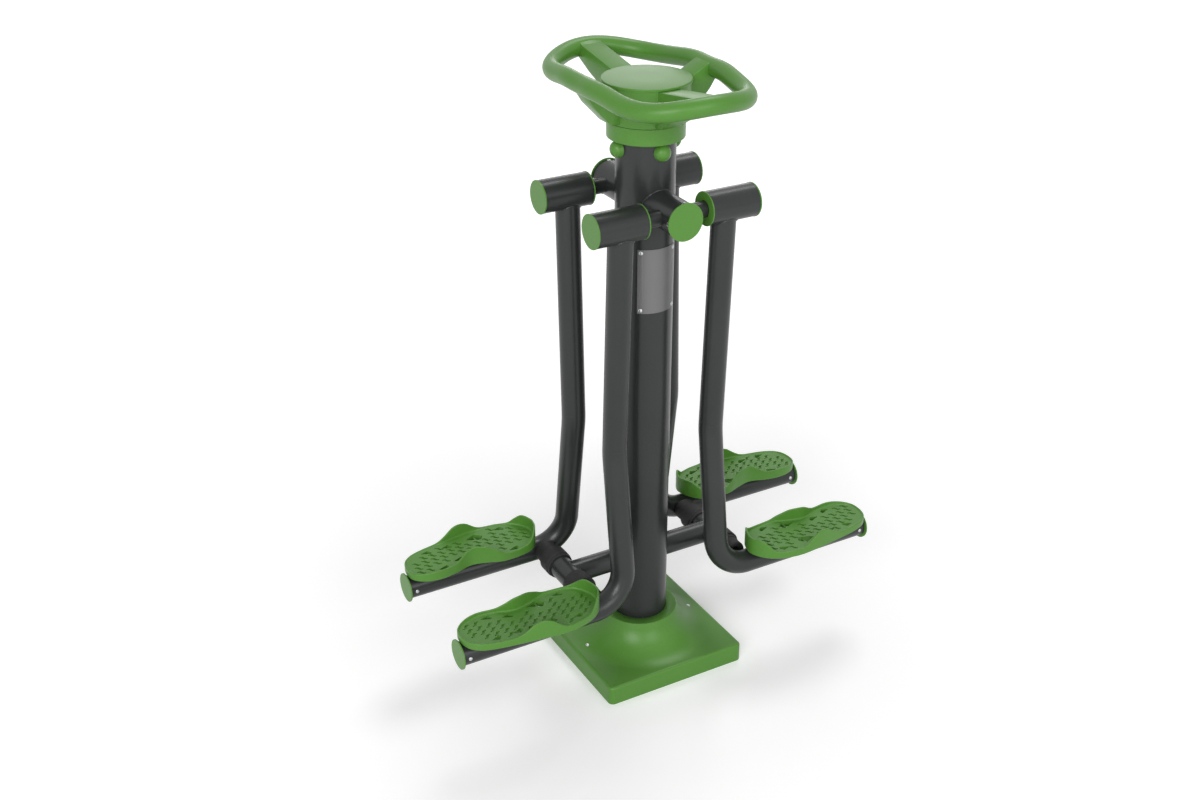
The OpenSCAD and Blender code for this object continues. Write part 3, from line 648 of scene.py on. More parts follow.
@dataclass(frozen=True)
class MouldedPlastic(Finish):
    """Leaf green plastic with a satin pebbled skin."""

    name: str = "green_moulded_plastic"
    colour: Colour = (0.088, 0.250, 0.034)
    deep: Colour = (0.075, 0.222, 0.028)
    rubbed: Colour = (0.20, 0.40, 0.12)
    dust: Colour = (0.30, 0.36, 0.24)

    def wire(self, w: Wiring, shader: bpy.types.Node) -> None:
        """Tone cloud, pale rubbed edges, dust on top, and a pebbled skin."""
        cloud = CLOUD.place(w, Scale=4.0)
        wear = WEAR.place(w, Radius=0.0016, Amount=0.35)
        dust = DUST.place(w, Amount=0.035)
        tone = w.blend(cloud.outputs["Cloud"], self.deep, self.colour)
        tone = w.blend(wear.outputs["Wear"], tone, self.rubbed)
        w.put(shader.inputs["Base Color"], w.blend(dust.outputs["Dust"], tone, self.dust))
        grain = GRAIN.place(w, Scale=1400.0, Fine=0.7, Roll=0.3)
        w.put(shader.inputs["Roughness"], w.spread(grain.outputs["Grain"], 0.3, 0.7, 0.32, 0.42))
        shader.inputs["Specular IOR Level"].default_value = 0.34
        self.bump(w, shader, grain.outputs["Height"], 0.12, 0.0006)


@dataclass(frozen=True)
class PowderCoat(Finish):
    """Charcoal powder coat on steel tube, satin with a slight orange peel."""

    name: str = "charcoal_powder_coat"
    colour: Colour = (0.0262, 0.0284, 0.0282)
    deep: Colour = (0.0198, 0.0218, 0.0216)
    rubbed: Colour = (0.060, 0.064, 0.064)
    dust: Colour = (0.10, 0.105, 0.10)

    def wire(self, w: Wiring, shader: bpy.types.Node) -> None:
        """Tone cloud, rubbed edges, a little dust and the orange peel."""
        cloud = CLOUD.place(w, Scale=6.0)
        wear = WEAR.place(w, Radius=0.0012, Amount=0.3)
        dust = DUST.place(w, Amount=0.06)
        tone = w.blend(cloud.outputs["Cloud"], self.deep, self.colour)
        tone = w.blend(wear.outputs["Wear"], tone, self.rubbed)
        w.put(shader.inputs["Base Color"], w.blend(dust.outputs["Dust"], tone, self.dust))
        grain = GRAIN.place(w, Scale=700.0, Fine=0.45, Roll=0.55)
        w.put(shader.inputs["Roughness"], w.spread(cloud.outputs["Speckle"], 0.0, 1.0, 0.28, 0.34))
        shader.inputs["Specular IOR Level"].default_value = 0.36
        self.bump(w, shader, grain.outputs["Height"], 0.10, 0.0005)


@dataclass(frozen=True)
class PlainSteel(Finish):
    """Zinc plated or stainless steel with faint turning marks and stains."""

    name: str
    colour: Colour
    stain: Colour
    roughness: float

    def wire(self, w: Wiring, shader: bpy.types.Node) -> None:
        """Stained tone and a fine broken sheen."""
        cloud = CLOUD.place(w, Scale=24.0)
        w.put(shader.inputs["Base Color"], w.blend(cloud.outputs["Cloud"], self.stain, self.colour))
        shader.inputs["Metallic"].default_value = 1.0
        grain = GRAIN.place(w, Scale=1800.0, Fine=0.8, Roll=0.2)
        w.put(shader.inputs["Roughness"],
              w.spread(grain.outputs["Grain"], 0.3, 0.7, self.roughness - 0.06, self.roughness + 0.08))
        self.bump(w, shader, grain.outputs["Height"], 0.06, 0.0003)


@dataclass(frozen=True)
class BrushedSheet(Finish):
    """Bare grey sheet of the plate on the post, brushed along its height."""

    name: str = "brushed_label_sheet"
    colour: Colour = (0.185, 0.185, 0.186)
    deep: Colour = (0.150, 0.150, 0.151)

    def wire(self, w: Wiring, shader: bpy.types.Node) -> None:
        """Long fine streaks in tone, sheen and height."""
        drawn_out = (1.0, 1.0, 0.012)
        where = w.node("ShaderNodeVectorMath", {"operation": "MULTIPLY"}, i0=w.place(),
                       i1=drawn_out).outputs[0]
        streak = w.noise(where, 900.0, 3.0)
        cloud = CLOUD.place(w, Scale=14.0)
        tone = w.blend(streak, self.deep, self.colour)
        w.put(shader.inputs["Base Color"],
              w.blend(w.math("MULTIPLY", cloud.outputs["Cloud"], 0.35), tone, self.colour))
        shader.inputs["Metallic"].default_value = 0.55
        w.put(shader.inputs["Roughness"], w.spread(streak, 0.3, 0.7, 0.42, 0.55))
        self.bump(w, shader, streak, 0.10, 0.0003)


@dataclass(frozen=True)
class MattRubber(Finish):
    """Black rubber of the buffers, matt and dusty."""

    name: str = "black_buffer_rubber"
    colour: Colour = (0.014, 0.014, 0.014)
    worn: Colour = (0.045, 0.045, 0.044)

    def wire(self, w: Wiring, shader: bpy.types.Node) -> None:
        """Grey bloom, rubbed edges and a coarse skin."""
        cloud = CLOUD.place(w, Scale=16.0)
        wear = WEAR.place(w, Radius=0.002, Amount=0.5)
        bloom = w.math("MULTIPLY", cloud.outputs["Cloud"], 0.25)
        w.put(shader.inputs["Base Color"],
              w.blend(w.math("MAXIMUM", bloom, wear.outputs["Wear"]), self.colour, self.worn))
        grain = GRAIN.place(w, Scale=800.0, Fine=0.6, Roll=0.4)
        w.put(shader.inputs["Roughness"], w.spread(grain.outputs["Grain"], 0.3, 0.7, 0.62, 0.78))
        shader.inputs["Specular IOR Level"].default_value = 0.35
        self.bump(w, shader, grain.outputs["Height"], 0.2, 0.0005)


GREEN = MouldedPlastic()
CHARCOAL = PowderCoat()
BRIGHT = PlainSteel("bright_stainless", (0.60, 0.61, 0.62), (0.42, 0.43, 0.44), 0.30)
ZINC = PlainSteel("zinc_plate", (0.42, 0.43, 0.44), (0.28, 0.29, 0.30), 0.44)
LABEL = BrushedSheet()
RUBBER = MattRubber()
FINISHES: dict[Slot, Finish] = {
    Slot.GREEN: GREEN, Slot.CHARCOAL: CHARCOAL, Slot.GALVANISED: ZINC,
    Slot.BRIGHT: BRIGHT, Slot.LABEL: LABEL, Slot.RUBBER: RUBBER,
}


def dress(obj: bpy.types.Object, slot: Slot) -> None:
    """Gives a piece the finish of a material slot."""
    obj.data.materials.clear()
    obj.data.materials.append(FINISHES[slot].material())


def take_place(obj: bpy.types.Object, body: str, slot: Slot, *nodes: str) -> bpy.types.Object:
    """Dresses an own piece, ties it to its body and lets it stand for solids.

    Args:
        obj: The piece.
        body: Body that it moves with.
        slot: Its material slot.
        nodes: Solids that it stands for.

    Returns:
        The piece.
    """
    dress(obj, slot)
    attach(obj, body)
    if nodes:
        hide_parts(*nodes)
    LOG.info("piece %s on %s, %d faces", obj.name, body, len(obj.data.polygons))
    return obj


# Sub-assemblies


@dataclass
class BaseCover:
    """Green shell on the ground: a rounded square that flares up to a flat ring round the post."""

    side: float = 395.0
    height: float = 51.0
    corner_r: float = 14.0
    edge_r: float = 8.0
    wall: float = 3.0
    bore_r: float = 70.4
    bore_depth: float = 9.0
    bore_edge: float = 0.8
    ring_r: float = 98.0
    ring_z: float = 128.5
    lip_r: float = 2.0
    lip_flat: float = 1.0
    lip_angles: tuple[float, ...] = (0, 22, 45, 68, 85)
    flare_foot_r: float = 190.0
    flare_r: float = 92.0
    flare_drop: float = 1.2
    flare_clear: float = 0.3
    flare_steps: int = 24
    side_steps: int = 24
    corner_steps: int = 12
    edge_steps: int = 8
    skirt_heights: tuple[float, ...] = (30.0, 16.0, 6.0, 0.0)

    def perimeter(self) -> list[tuple[Flat, Flat]]:
        """Points of the outer outline with their outward directions, anticlockwise."""
        half = self.side / 2
        at = half - self.corner_r
        spots: list[tuple[Flat, Flat]] = []
        for quarter in range(4):
            turn = quarter * math.pi / 2
            for k in range(-self.side_steps, self.side_steps):
                here = (half, at * k / self.side_steps)
                spots.append((turned(here, turn), turned((1, 0), turn)))
            for k in range(self.corner_steps):
                a = math.pi / 2 * k / self.corner_steps
                way = (math.cos(a), math.sin(a))
                here = (at + self.corner_r * way[0], at + self.corner_r * way[1])
                spots.append((turned(here, turn), turned(way, turn)))
        return spots

    def build(self) -> bpy.types.Object:
        """Draws the shell as rings from the bore to the ground and thickens it.

        Returns:
            The piece.
        """
        sharp = 50
        spots = self.perimeter()
        draft = Draft()

        def ring(radius: float, z: float) -> list[int]:
            """Ring of points at one radius, in the directions of the outline's points."""
            points = []
            for (x, y), _ in spots:
                size = math.hypot(x, y)
                points.append((x / size * radius, y / size * radius, z))
            return draft.loop(points)

        def flare_ring(a: float) -> list[int]:
            """Ring of the flare at an angle, held inside the outline's rounded edge."""
            points = []
            for (x, y), (nx, ny) in spots:
                size = math.hypot(x, y)
                edge = math.hypot(x - nx * self.edge_r, y - ny * self.edge_r) - self.flare_clear
                radius = min(self.flare_foot_r - self.flare_r * math.cos(a), edge)
                points.append((x / size * radius, y / size * radius,
                               self.height + self.flare_r - self.flare_r * math.sin(a)))
            return draft.loop(points)

        def band(inset: float, z: float) -> list[int]:
            """Ring of points along the outline, moved in by a distance."""
            return draft.loop((x - nx * inset, y - ny * inset, z) for (x, y), (nx, ny) in spots)

        lip, edge_r = self.lip_r, self.edge_r
        rings = [ring(self.bore_r, self.ring_z - self.bore_depth),
                 ring(self.bore_r, self.ring_z - self.bore_edge),
                 ring(self.bore_r + self.bore_edge, self.ring_z),
                 ring(self.ring_r - lip - self.lip_flat, self.ring_z)]
        rings += [ring(self.ring_r - lip + lip * math.sin(a), self.ring_z - lip + lip * math.cos(a))
                  for a in map(math.radians, self.lip_angles)]
        start = math.asin((self.height + self.flare_r - (self.ring_z - lip - self.flare_drop)) / self.flare_r)
        rings += [flare_ring(start + (math.pi / 2 - start) * k / self.flare_steps)
                  for k in range(1, self.flare_steps + 1)]
        rings += [band(edge_r - edge_r * math.sin(a), self.height - edge_r + edge_r * math.cos(a))
                  for a in (math.pi / 2 * k / self.edge_steps for k in range(self.edge_steps + 1))]
        rings += [band(0.0, z) for z in self.skirt_heights]
        draft.stack(rings[::-1])
        cover = draft.to_object("base_cover_shell", closed=False, sharp=sharp)
        skin = cover.modifiers.new("wall", "SOLIDIFY")
        skin.thickness = self.wall * MM
        skin.offset = -1.0
        settle(cover, sharp)
        return take_place(cover, "stand", Slot.GREEN, "base_cover")


@dataclass
class HandWheel:
    """Green moulded wheel: a wavy oval rim on four spokes, with a hub over the post's top.

    The fields oval, square, six and fine are the waves of the rim in plan. The fields sag, wave and ripple
    are its waves in height. Points of a spoke's side are (distance from the axis, height, rounding), and
    those of its end and crown are counted from the rim's centre line.
    """

    post_top: float = 1500.0
    mean_r: float = 216.5
    oval: float = 58.8
    square: float = 3.4
    six: float = 2.7
    fine: float = 0.9
    rim_h: float = 40.3
    sag: float = 1.9
    wave: float = 5.5
    ripple: float = 3.7
    rim_r: float = 21.6
    rim_steps: int = 240
    rim_sides: int = 28
    spoke_w: float = 57.0
    spoke_edge: float = 2.2
    spoke_bend: float = 0.65
    spoke_rise: float = 33.0
    spoke_sunk: float = 2.0
    root_r: float = 84.0
    root_z: float = 1450.0
    long_low: tuple[Point, ...] = ((102.0, 1451.0, 4.0), (150.0, 1480.0, 40.0), (215.0, 1503.0, 60.0))
    long_end: Flat = (-4.0, -18.0)
    short_low: tuple[Point, ...] = ((104.0, 1451.0, 5.0), (150.0, 1499.0, 30.0))
    short_end: Flat = (6.0, -17.0)
    crown: tuple[Point, ...] = ((2.0, 14.0, 0.0), (-12.0, 16.5, 4.0), (-26.0, 10.0, 12.0))
    hub_r: float = 100.0
    hub_low: float = 8.0
    hub_top: float = 1534.0
    hub_hole_r: float = 60.0
    neck_r: float = 90.0
    neck_top: float = 22.0
    neck_z: float = 1446.4
    bore_r: float = 70.6
    gap: float = 0.2

    def rim_radius(self, t: float) -> float:
        """Distance of the rim's centre line from the axis in a direction."""
        return (self.mean_r - self.oval * math.cos(2 * t) + self.square * math.cos(4 * t)
                + self.six * math.cos(6 * t) - self.fine * (math.cos(8 * t) + math.cos(10 * t)))

    def rim_height(self, t: float) -> float:
        """Height of the rim's centre line in a direction."""
        return (self.post_top + self.rim_h + self.sag * math.cos(2 * t) + self.wave * math.cos(4 * t)
                - self.ripple * math.cos(6 * t))

    def rim_point(self, t: float) -> Vector:
        """Point of the rim's centre line in a direction."""
        r = self.rim_radius(t)
        return Vector((r * math.cos(t), r * math.sin(t), self.rim_height(t)))

    def draw_rim(self, draft: Draft) -> None:
        """Adds the rim as a closed tube."""
        near = 0.01
        rings = []
        for t in round_angles(self.rim_steps):
            along = (self.rim_point(t + near) - self.rim_point(t - near)).normalized()
            out = along.cross(Vector((0, 0, 1))).normalized()
            up = out.cross(along)
            centre = self.rim_point(t)
            rings.append(draft.loop(
                tuple(centre + self.rim_r * (math.cos(a) * out + math.sin(a) * up))
                for a in round_angles(self.rim_sides)))
        draft.stack(rings + rings[:1])

    def spoke_side(self, t: float, along_y: bool) -> list[Point]:
        """A spoke seen from the side.

        Args:
            t: Direction of the spoke in radians.
            along_y: Whether it is one of the two long spokes.

        Returns:
            Corners as (distance from the axis, height, radius of the rounding).
        """
        at, z = self.rim_radius(t), self.rim_height(t)
        low, end = (self.long_low, self.long_end) if along_y else (self.short_low, self.short_end)
        top = self.post_top + self.spoke_rise
        return [(self.root_r, self.root_z, 0.0), *low, (at + end[0], z + end[1], 0.0),
                *((at + out, z + up, rounding) for out, up, rounding in self.crown),
                (self.hub_r - self.spoke_sunk, top, 20.0), (self.root_r, top, 0.0)]

    def draw_spoke(self, draft: Draft, turn: float, along_y: bool) -> None:
        """Adds one spoke with rounded long edges.

        Args:
            draft: The wheel's draft.
            turn: Direction of the spoke in radians.
            along_y: Whether it is one of the two long spokes.
        """
        corners = self.spoke_side(turn, along_y)
        side = [corners[0][:2]] + filleted(corners, 6)[1:-1] + [corners[-1][:2]]
        half = self.spoke_w / 2
        edge = [(0.0, self.spoke_edge), (self.spoke_bend, self.spoke_bend), (self.spoke_edge, 0.0)]
        across = [(-half + step, shrink) for step, shrink in edge]
        across += [(half - step, shrink) for step, shrink in reversed(edge)]
        sections = []
        for offset, shrink in across:
            outline = moved_in(side[::-1], shrink)[::-1]
            sections.append(draft.loop((*turned((r, offset), turn), z) for r, z in outline))
        draft.stack(sections)
        draft.cap(sections[0][::-1])
        draft.cap(sections[-1])

    def draw_hub(self, draft: Draft) -> None:
        """Adds the hub and its neck, turned about the post."""
        ceiling, low = self.post_top + self.gap, self.neck_z + self.gap
        profile = filleted([
            (self.hub_top, self.hub_hole_r, 0), (self.hub_top, self.hub_r, 1.5),
            (self.post_top - self.hub_low, self.hub_r, 6.0),
            (self.post_top - self.neck_top, self.neck_r, 6.0),
            (low, self.neck_r, 1.2), (low, self.bore_r, 0.6), (ceiling, self.bore_r, 0),
            (ceiling, self.hub_hole_r, 0)])
        draft.lathe(profile, about_post, 144)

    def build(self) -> bpy.types.Object:
        """Draws rim, spokes and hub as one moulding whose forms run into each other.

        Returns:
            The piece.
        """
        parts = Draft()
        self.draw_rim(parts)
        for k in range(4):
            self.draw_spoke(parts, k * math.pi / 2, k % 2 == 1)
        self.draw_hub(parts)
        wheel = parts.to_object("hand_wheel_moulding", sharp=40)
        return take_place(wheel, "stand", Slot.GREEN, "hand_wheel")


@dataclass
class HubLid:
    """Slightly crowned lid on the hub, with a rolled edge."""

    radius: float = 103.3
    low_z: float = 1534.0
    top_z: float = 1540.5
    edge_drop: float = 0.6
    crown_r: float = 40.0
    plug_r: float = 58.0
    plug_depth: float = 6.0

    def build(self) -> bpy.types.Object:
        """Turns the lid and the plug under it.

        Returns:
            The piece.
        """
        foot = self.low_z - self.plug_depth
        profile = filleted([(foot, AXIS_R, 0), (foot, self.plug_r, 0.5), (self.low_z, self.plug_r, 0.2),
                            (self.low_z, self.radius, 1.2), (self.top_z - self.edge_drop, self.radius, 2.6),
                            (self.top_z, self.crown_r, 10.0), (self.top_z, AXIS_R, 0)])
        draft = Draft()
        draft.lathe(profile, about_post, 160)
        lid = draft.to_object("hub_lid_moulding", sharp=40)
        return take_place(lid, "stand", Slot.GREEN, "hub_lid")


@dataclass
class BoltCaps:
    """Four green domes on the post that hide the wheel's bolts."""

    bolt_z: float = 1385.4
    foot_x: float = 67.0
    skirt_x: float = 74.2
    radius: float = 19.3
    reach: float = 17.0
    foot_edge: float = 0.8
    skirt_edge: float = 0.6
    dome_step: float = 0.35
    dome_steps: int = 14

    def build(self) -> bpy.types.Object:
        """Turns the domes, each with a short skirt that follows the post.

        Returns:
            The piece.
        """
        dome_r = self.radius - self.dome_step
        profile = [(self.foot_x, AXIS_R), (self.foot_x, self.radius - self.foot_edge),
                   (self.foot_x + self.foot_edge, self.radius), (self.skirt_x - self.skirt_edge, self.radius),
                   (self.skirt_x, dome_r)]
        profile += [(self.skirt_x + self.reach * math.sin(a), dome_r * math.cos(a) + AXIS_R)
                    for a in (math.pi / 2 * k / self.dome_steps for k in range(1, self.dome_steps + 1))]
        draft = Draft()
        for quarter in range(4):
            turn = quarter * math.pi / 2

            def placed(x: float, r: float, a: float) -> Point:
                """A dome's point, turned to its side of the post."""
                return (*turned((x, r * math.cos(a)), turn), self.bolt_z + r * math.sin(a))

            draft.lathe(profile, placed, 48)
        caps = draft.to_object("bolt_caps_moulding", sharp=40)
        return take_place(caps, "stand", Slot.GREEN, "wheel_bolt_caps")


@dataclass
class FootPlate:
    """Green moulded tray on a foot bar: a deck with drains and treads, a rim and two raised wings.

    The plan is drawn from the plate's end near the post, X along the foot bar and Y away from the post. The
    fields outer_rim and inner_rim give the height of the rim above the bar along X, on the two sides of the
    bar.
    """

    station: Station
    toe_x: float = 223.5
    bar_y: float = BAR_Y
    bar_top: float = 308.6
    lift: float = 4.0
    deck: float = 20.0
    deck_t: float = 5.0
    wall: float = 5.0
    fillet: float = 5.0
    fillet_low: float = 0.3
    skirt_edge: float = 0.8
    tread_step_x: float = 25.0
    tread_step_y: float = 19.3
    tread_start: Flat = (28.0, 12.0)
    tread_slant: float = 1.5
    tread_rows: range = range(-4, 6)
    tread_columns: int = 14
    tread_depth: float = 3.8
    tread_room: float = 0.8
    tread_clear: Flat = (8.5, 6.5)
    tread: tuple[Flat, ...] = (
        (-9.5, -7.4), (-0.2, -7.4), (5.4, 3.4), (9.5, 3.4), (9.5, 7.4), (0.2, 7.4), (-5.4, -3.4),
        (-9.5, -3.4))
    spout_wall: float = 2.0
    spout_low: float = 5.0
    spout_sunk: float = 0.2
    rib_drop: float = 5.5
    rib: tuple[Flat, ...] = ((-4.6, -11.4), (-0.2, -10.4), (-0.2, 13.8), (-4.6, 13.2))
    outline: tuple[Flat, ...] = (
        (0, 22), (14, 50), (38, 71), (72, 85), (118, 91), (182, 85), (245, 76), (291, 68),
        (328, 56), (351, 35), (359, 4), (354, -26), (328, -48), (289, -56), (246, -50),
        (200, -37), (156, -47), (118, -60), (73, -59), (36, -49), (15, -29), (3, -4))
    outer_rim: tuple[Flat, ...] = (
        (0, 50), (14, 51), (28, 39), (46, 24), (80, 22), (112, 22), (132, 29), (158, 48), (180, 54),
        (200, 50), (225, 33), (250, 23), (300, 22), (340, 22), (359, 23))
    inner_rim: tuple[Flat, ...] = (
        (0, 51), (14, 51), (28, 38), (46, 28), (80, 25), (112, 27), (132, 37), (158, 50), (182, 54),
        (204, 52), (228, 38), (250, 30), (300, 29), (340, 25), (359, 23))
    small_drains: tuple[Flat, ...] = ((76, 60), (229.5, 46.5), (286, 47), (80, -39), (225, -17), (273, -34))
    large_drains: tuple[Flat, ...] = ((149, 52), (144.5, -27.5))
    small_kite: tuple[Flat, ...] = (
        (13.4, 1.8), (12.4, 3.8), (-2.6, 8.8), (-5.2, 8.6), (-12.4, 0.2), (-12.6, -2.8), (-10.4, -6.6),
        (-7.6, -7.0))
    large_kite: tuple[Flat, ...] = (
        (23.0, 0.6), (21.8, 3.4), (-1.6, 14.0), (-6.2, 13.8), (-20.6, 1.4), (-20.8, -2.6), (-12.8, -12.4),
        (-8.8, -12.8))

    @staticmethod
    def near(spot: Flat, shape: Sequence[Flat]) -> list[Flat]:
        """A small shape at a spot of the plan, mirrored where the spot lies on the post's side of the bar."""
        side = 1 if spot[1] > 0 else -1
        return [(spot[0] + u, spot[1] + side * v) for u, v in shape]

    def drains(self) -> list[list[Flat]]:
        """Loops of the drain holes: rounded kites with their tips towards the heel."""
        kinds = ((self.small_drains, self.small_kite), (self.large_drains, self.large_kite))
        return [self.near(spot, smooth_loop(kite, 2)) for spots, kite in kinds for spot in spots]

    def by_a_drain(self, spot: Flat, drains: Sequence[Sequence[Flat]]) -> bool:
        """Tells whether a tread slot at a spot would come too near a drain."""
        return any(all(abs(at - middle) < half + clear
                       for at, clear, (middle, half) in zip(spot, self.tread_clear, spans(drain)))
                   for drain in drains)

    def treads(self, edge: Sequence[Flat], drains: Sequence[Sequence[Flat]]) -> list[list[Flat]]:
        """Loops of the Z-shaped tread slots, in staggered rows that keep clear of rim and drains."""
        room = moved_in(edge, self.tread_room)
        loops = []
        for row in self.tread_rows:
            y = row * self.tread_step_y + self.tread_start[1]
            for column in range(self.tread_columns):
                x = self.tread_start[0] + column * self.tread_step_x - row * self.tread_slant
                slot = [(x + u, y + v) for u, v in self.tread]
                if all(inside(room, *p) for p in slot) and not self.by_a_drain((x, y), drains):
                    loops.append(slot)
        return loops

    def placed(self, spot: Flat, z: float) -> Point:
        """A point of the plate's plan, at a height above the foot bar, in the station's own frame."""
        return (self.toe_x + spot[0], self.bar_y + spot[1], self.bar_top + z)

    def level(self, draft: Draft, loop: Sequence[Flat], z: float) -> list[int]:
        """Adds a loop of the plan at one height."""
        return draft.loop(self.placed(p, z) for p in loop)

    def draw_rim(self, draft: Draft, loop: Sequence[Flat]) -> None:
        """Adds the wall: foot and outside, round lip, the fillet down to the deck, and the inside below.

        Args:
            draft: The plate's draft.
            loop: The plate's outline.
        """
        lines = (smooth_line(self.outer_rim, 6), smooth_line(self.inner_rim, 6))
        tops = [height_on(lines[0] if y > 0 else lines[1], x) for x, y in loop]
        lip, lip_steps, fillet_steps = self.wall / 2, 8, 5
        low = self.deck + self.fillet_low
        skirt_z = self.lift + self.skirt_edge

        def strip(inset: float, heights: Sequence[float]) -> list[int]:
            """Closed row of points, moved in from the outline, each at its own height."""
            return draft.loop(self.placed(p, z) for p, z in zip(moved_in(loop, inset), heights))

        strips = [self.level(draft, moved_in(loop, self.wall - self.skirt_edge), self.lift),
                  self.level(draft, moved_in(loop, self.skirt_edge), self.lift),
                  self.level(draft, moved_in(loop, 0.0), skirt_z)]
        for k in range(lip_steps + 1):
            a = math.pi * k / lip_steps
            heights = [h - lip + lip * math.sin(a) for h in tops]
            past_top = k > lip_steps / 2
            strips.append(strip(lip - lip * math.cos(a), [max(z, low) if past_top else z for z in heights]))
        starts = [max(h - lip, low) for h in tops]
        for k in range(fillet_steps + 1):
            b = math.pi / 2 * k / fillet_steps
            strips.append(strip(self.wall + self.fillet * (1 - math.cos(b)), [
                self.deck + min(self.fillet, z - self.deck) * (1 - math.sin(b)) for z in starts]))
        strips.append(self.level(draft, moved_in(loop, self.wall + self.fillet), self.deck))
        draft.stack(strips)
        below = moved_in(loop, self.wall)
        skirt = self.level(draft, below, skirt_z)
        draft.bridge(skirt, strips[0])
        draft.bridge(self.level(draft, below, self.deck - self.deck_t), skirt)

    def draw_spout(self, draft: Draft, hole: Sequence[Flat]) -> None:
        """Adds the spout under a drain."""
        outer = moved_in(hole, self.spout_wall)
        if abs(area_of(outer)) < abs(area_of(hole)):
            outer = moved_in(hole, -self.spout_wall)
        under = self.deck - self.deck_t
        draft.stack([self.level(draft, hole, self.deck), self.level(draft, hole, self.spout_low),
                     self.level(draft, outer, self.spout_low),
                     self.level(draft, outer, under + self.spout_sunk)])

    def draw_rib(self, draft: Draft, spot: Flat) -> None:
        """Adds the rib across a large drain."""
        plan = self.near(spot, self.rib)
        ends = [self.level(draft, plan, z) for z in (self.spout_low, self.deck - self.rib_drop)]
        draft.stack(ends)
        for end in ends:
            draft.cap(end)

    def draw_tread(self, draft: Draft, slot: Sequence[Flat]) -> None:
        """Adds the walls and the floor of a tread slot."""
        top = self.level(draft, slot, self.deck)
        bottom = self.level(draft, slot, self.deck - self.tread_depth)
        draft.bridge(top, bottom)
        draft.cap(bottom)

    def build(self) -> bpy.types.Object:
        """Draws the rim, the deck and its underside, and the spouts, ribs and treads.

        Returns:
            The piece.
        """
        loop = smooth_loop(self.outline, 7)
        edge = moved_in(loop, self.wall + self.fillet)
        drains = self.drains()
        treads = self.treads(edge, drains)
        draft = Draft()
        self.draw_rim(draft, loop)
        self.fill(draft, edge, drains + treads, self.deck, True)
        self.fill(draft, moved_in(loop, self.wall), drains, self.deck - self.deck_t, False)
        for hole in drains:
            self.draw_spout(draft, hole)
        for spot in self.large_drains:
            self.draw_rib(draft, spot)
        for slot in treads:
            self.draw_tread(draft, slot)
        prefix = self.station.prefix
        plate = draft.to_object(prefix + "_foot_plate_moulding", self.station.sides, sharp=38)
        return take_place(plate, self.station.body, Slot.GREEN, prefix + "_footplate",
                          prefix + "_footplate_rim")

    def fill(self, draft: Draft, outline: Sequence[Flat], holes: Sequence[Sequence[Flat]], z: float,
             up: bool) -> None:
        """Adds a flat face with holes at one height.

        Args:
            draft: The plate's draft.
            outline: Its outer loop.
            holes: Loops that stay open.
            z: Height above the foot bar.
            up: Whether it looks up.
        """
        points, triangles = flat_region(outline, holes)
        numbers = draft.loop(self.placed(p, z) for p in points)
        for face in triangles:
            row = tuple(numbers[i] for i in face)
            draft.faces.append(row if up else tuple(reversed(row)))


@dataclass
class FootPlateSaddle:
    """Saddle between plate and foot bar, over the two bolts that go into the bar."""

    station: Station
    bar_y: float = BAR_Y
    bar_z: float = 278.8
    bar_r: float = 29.8
    deck_under: float = 323.6
    ends: tuple[float, float] = (247.5, 558.5)
    half_w: float = 12.0
    chamfer: float = 1.0
    sunk: float = 1.0
    gap: float = 0.05

    def build(self) -> bpy.types.Object:
        """Draws the block with its underside hollowed to the bar.

        Returns:
            The piece.
        """
        first, last = self.ends
        top, steps = self.deck_under + self.sunk, 10
        block = Draft()
        sections = []
        for x, inset in ((first, self.chamfer), (first + self.chamfer, 0.0), (last - self.chamfer, 0.0),
                         (last, self.chamfer)):
            half = self.half_w - inset
            outline = [(x, self.bar_y - half, top), (x, self.bar_y + half, top)]
            for dy in (half - 2 * half * k / steps for k in range(steps + 1)):
                outline.append((x, self.bar_y + dy,
                                self.bar_z + math.sqrt(self.bar_r ** 2 - dy ** 2) + self.gap))
            sections.append(block.loop(outline))
        block.stack(sections)
        block.cap(sections[0])
        block.cap(sections[-1][::-1])
        saddle = block.to_object(self.station.prefix + "_foot_plate_saddle", self.station.sides)
        return take_place(saddle, self.station.body, Slot.GREEN, self.station.prefix + "_footplate_bolts")


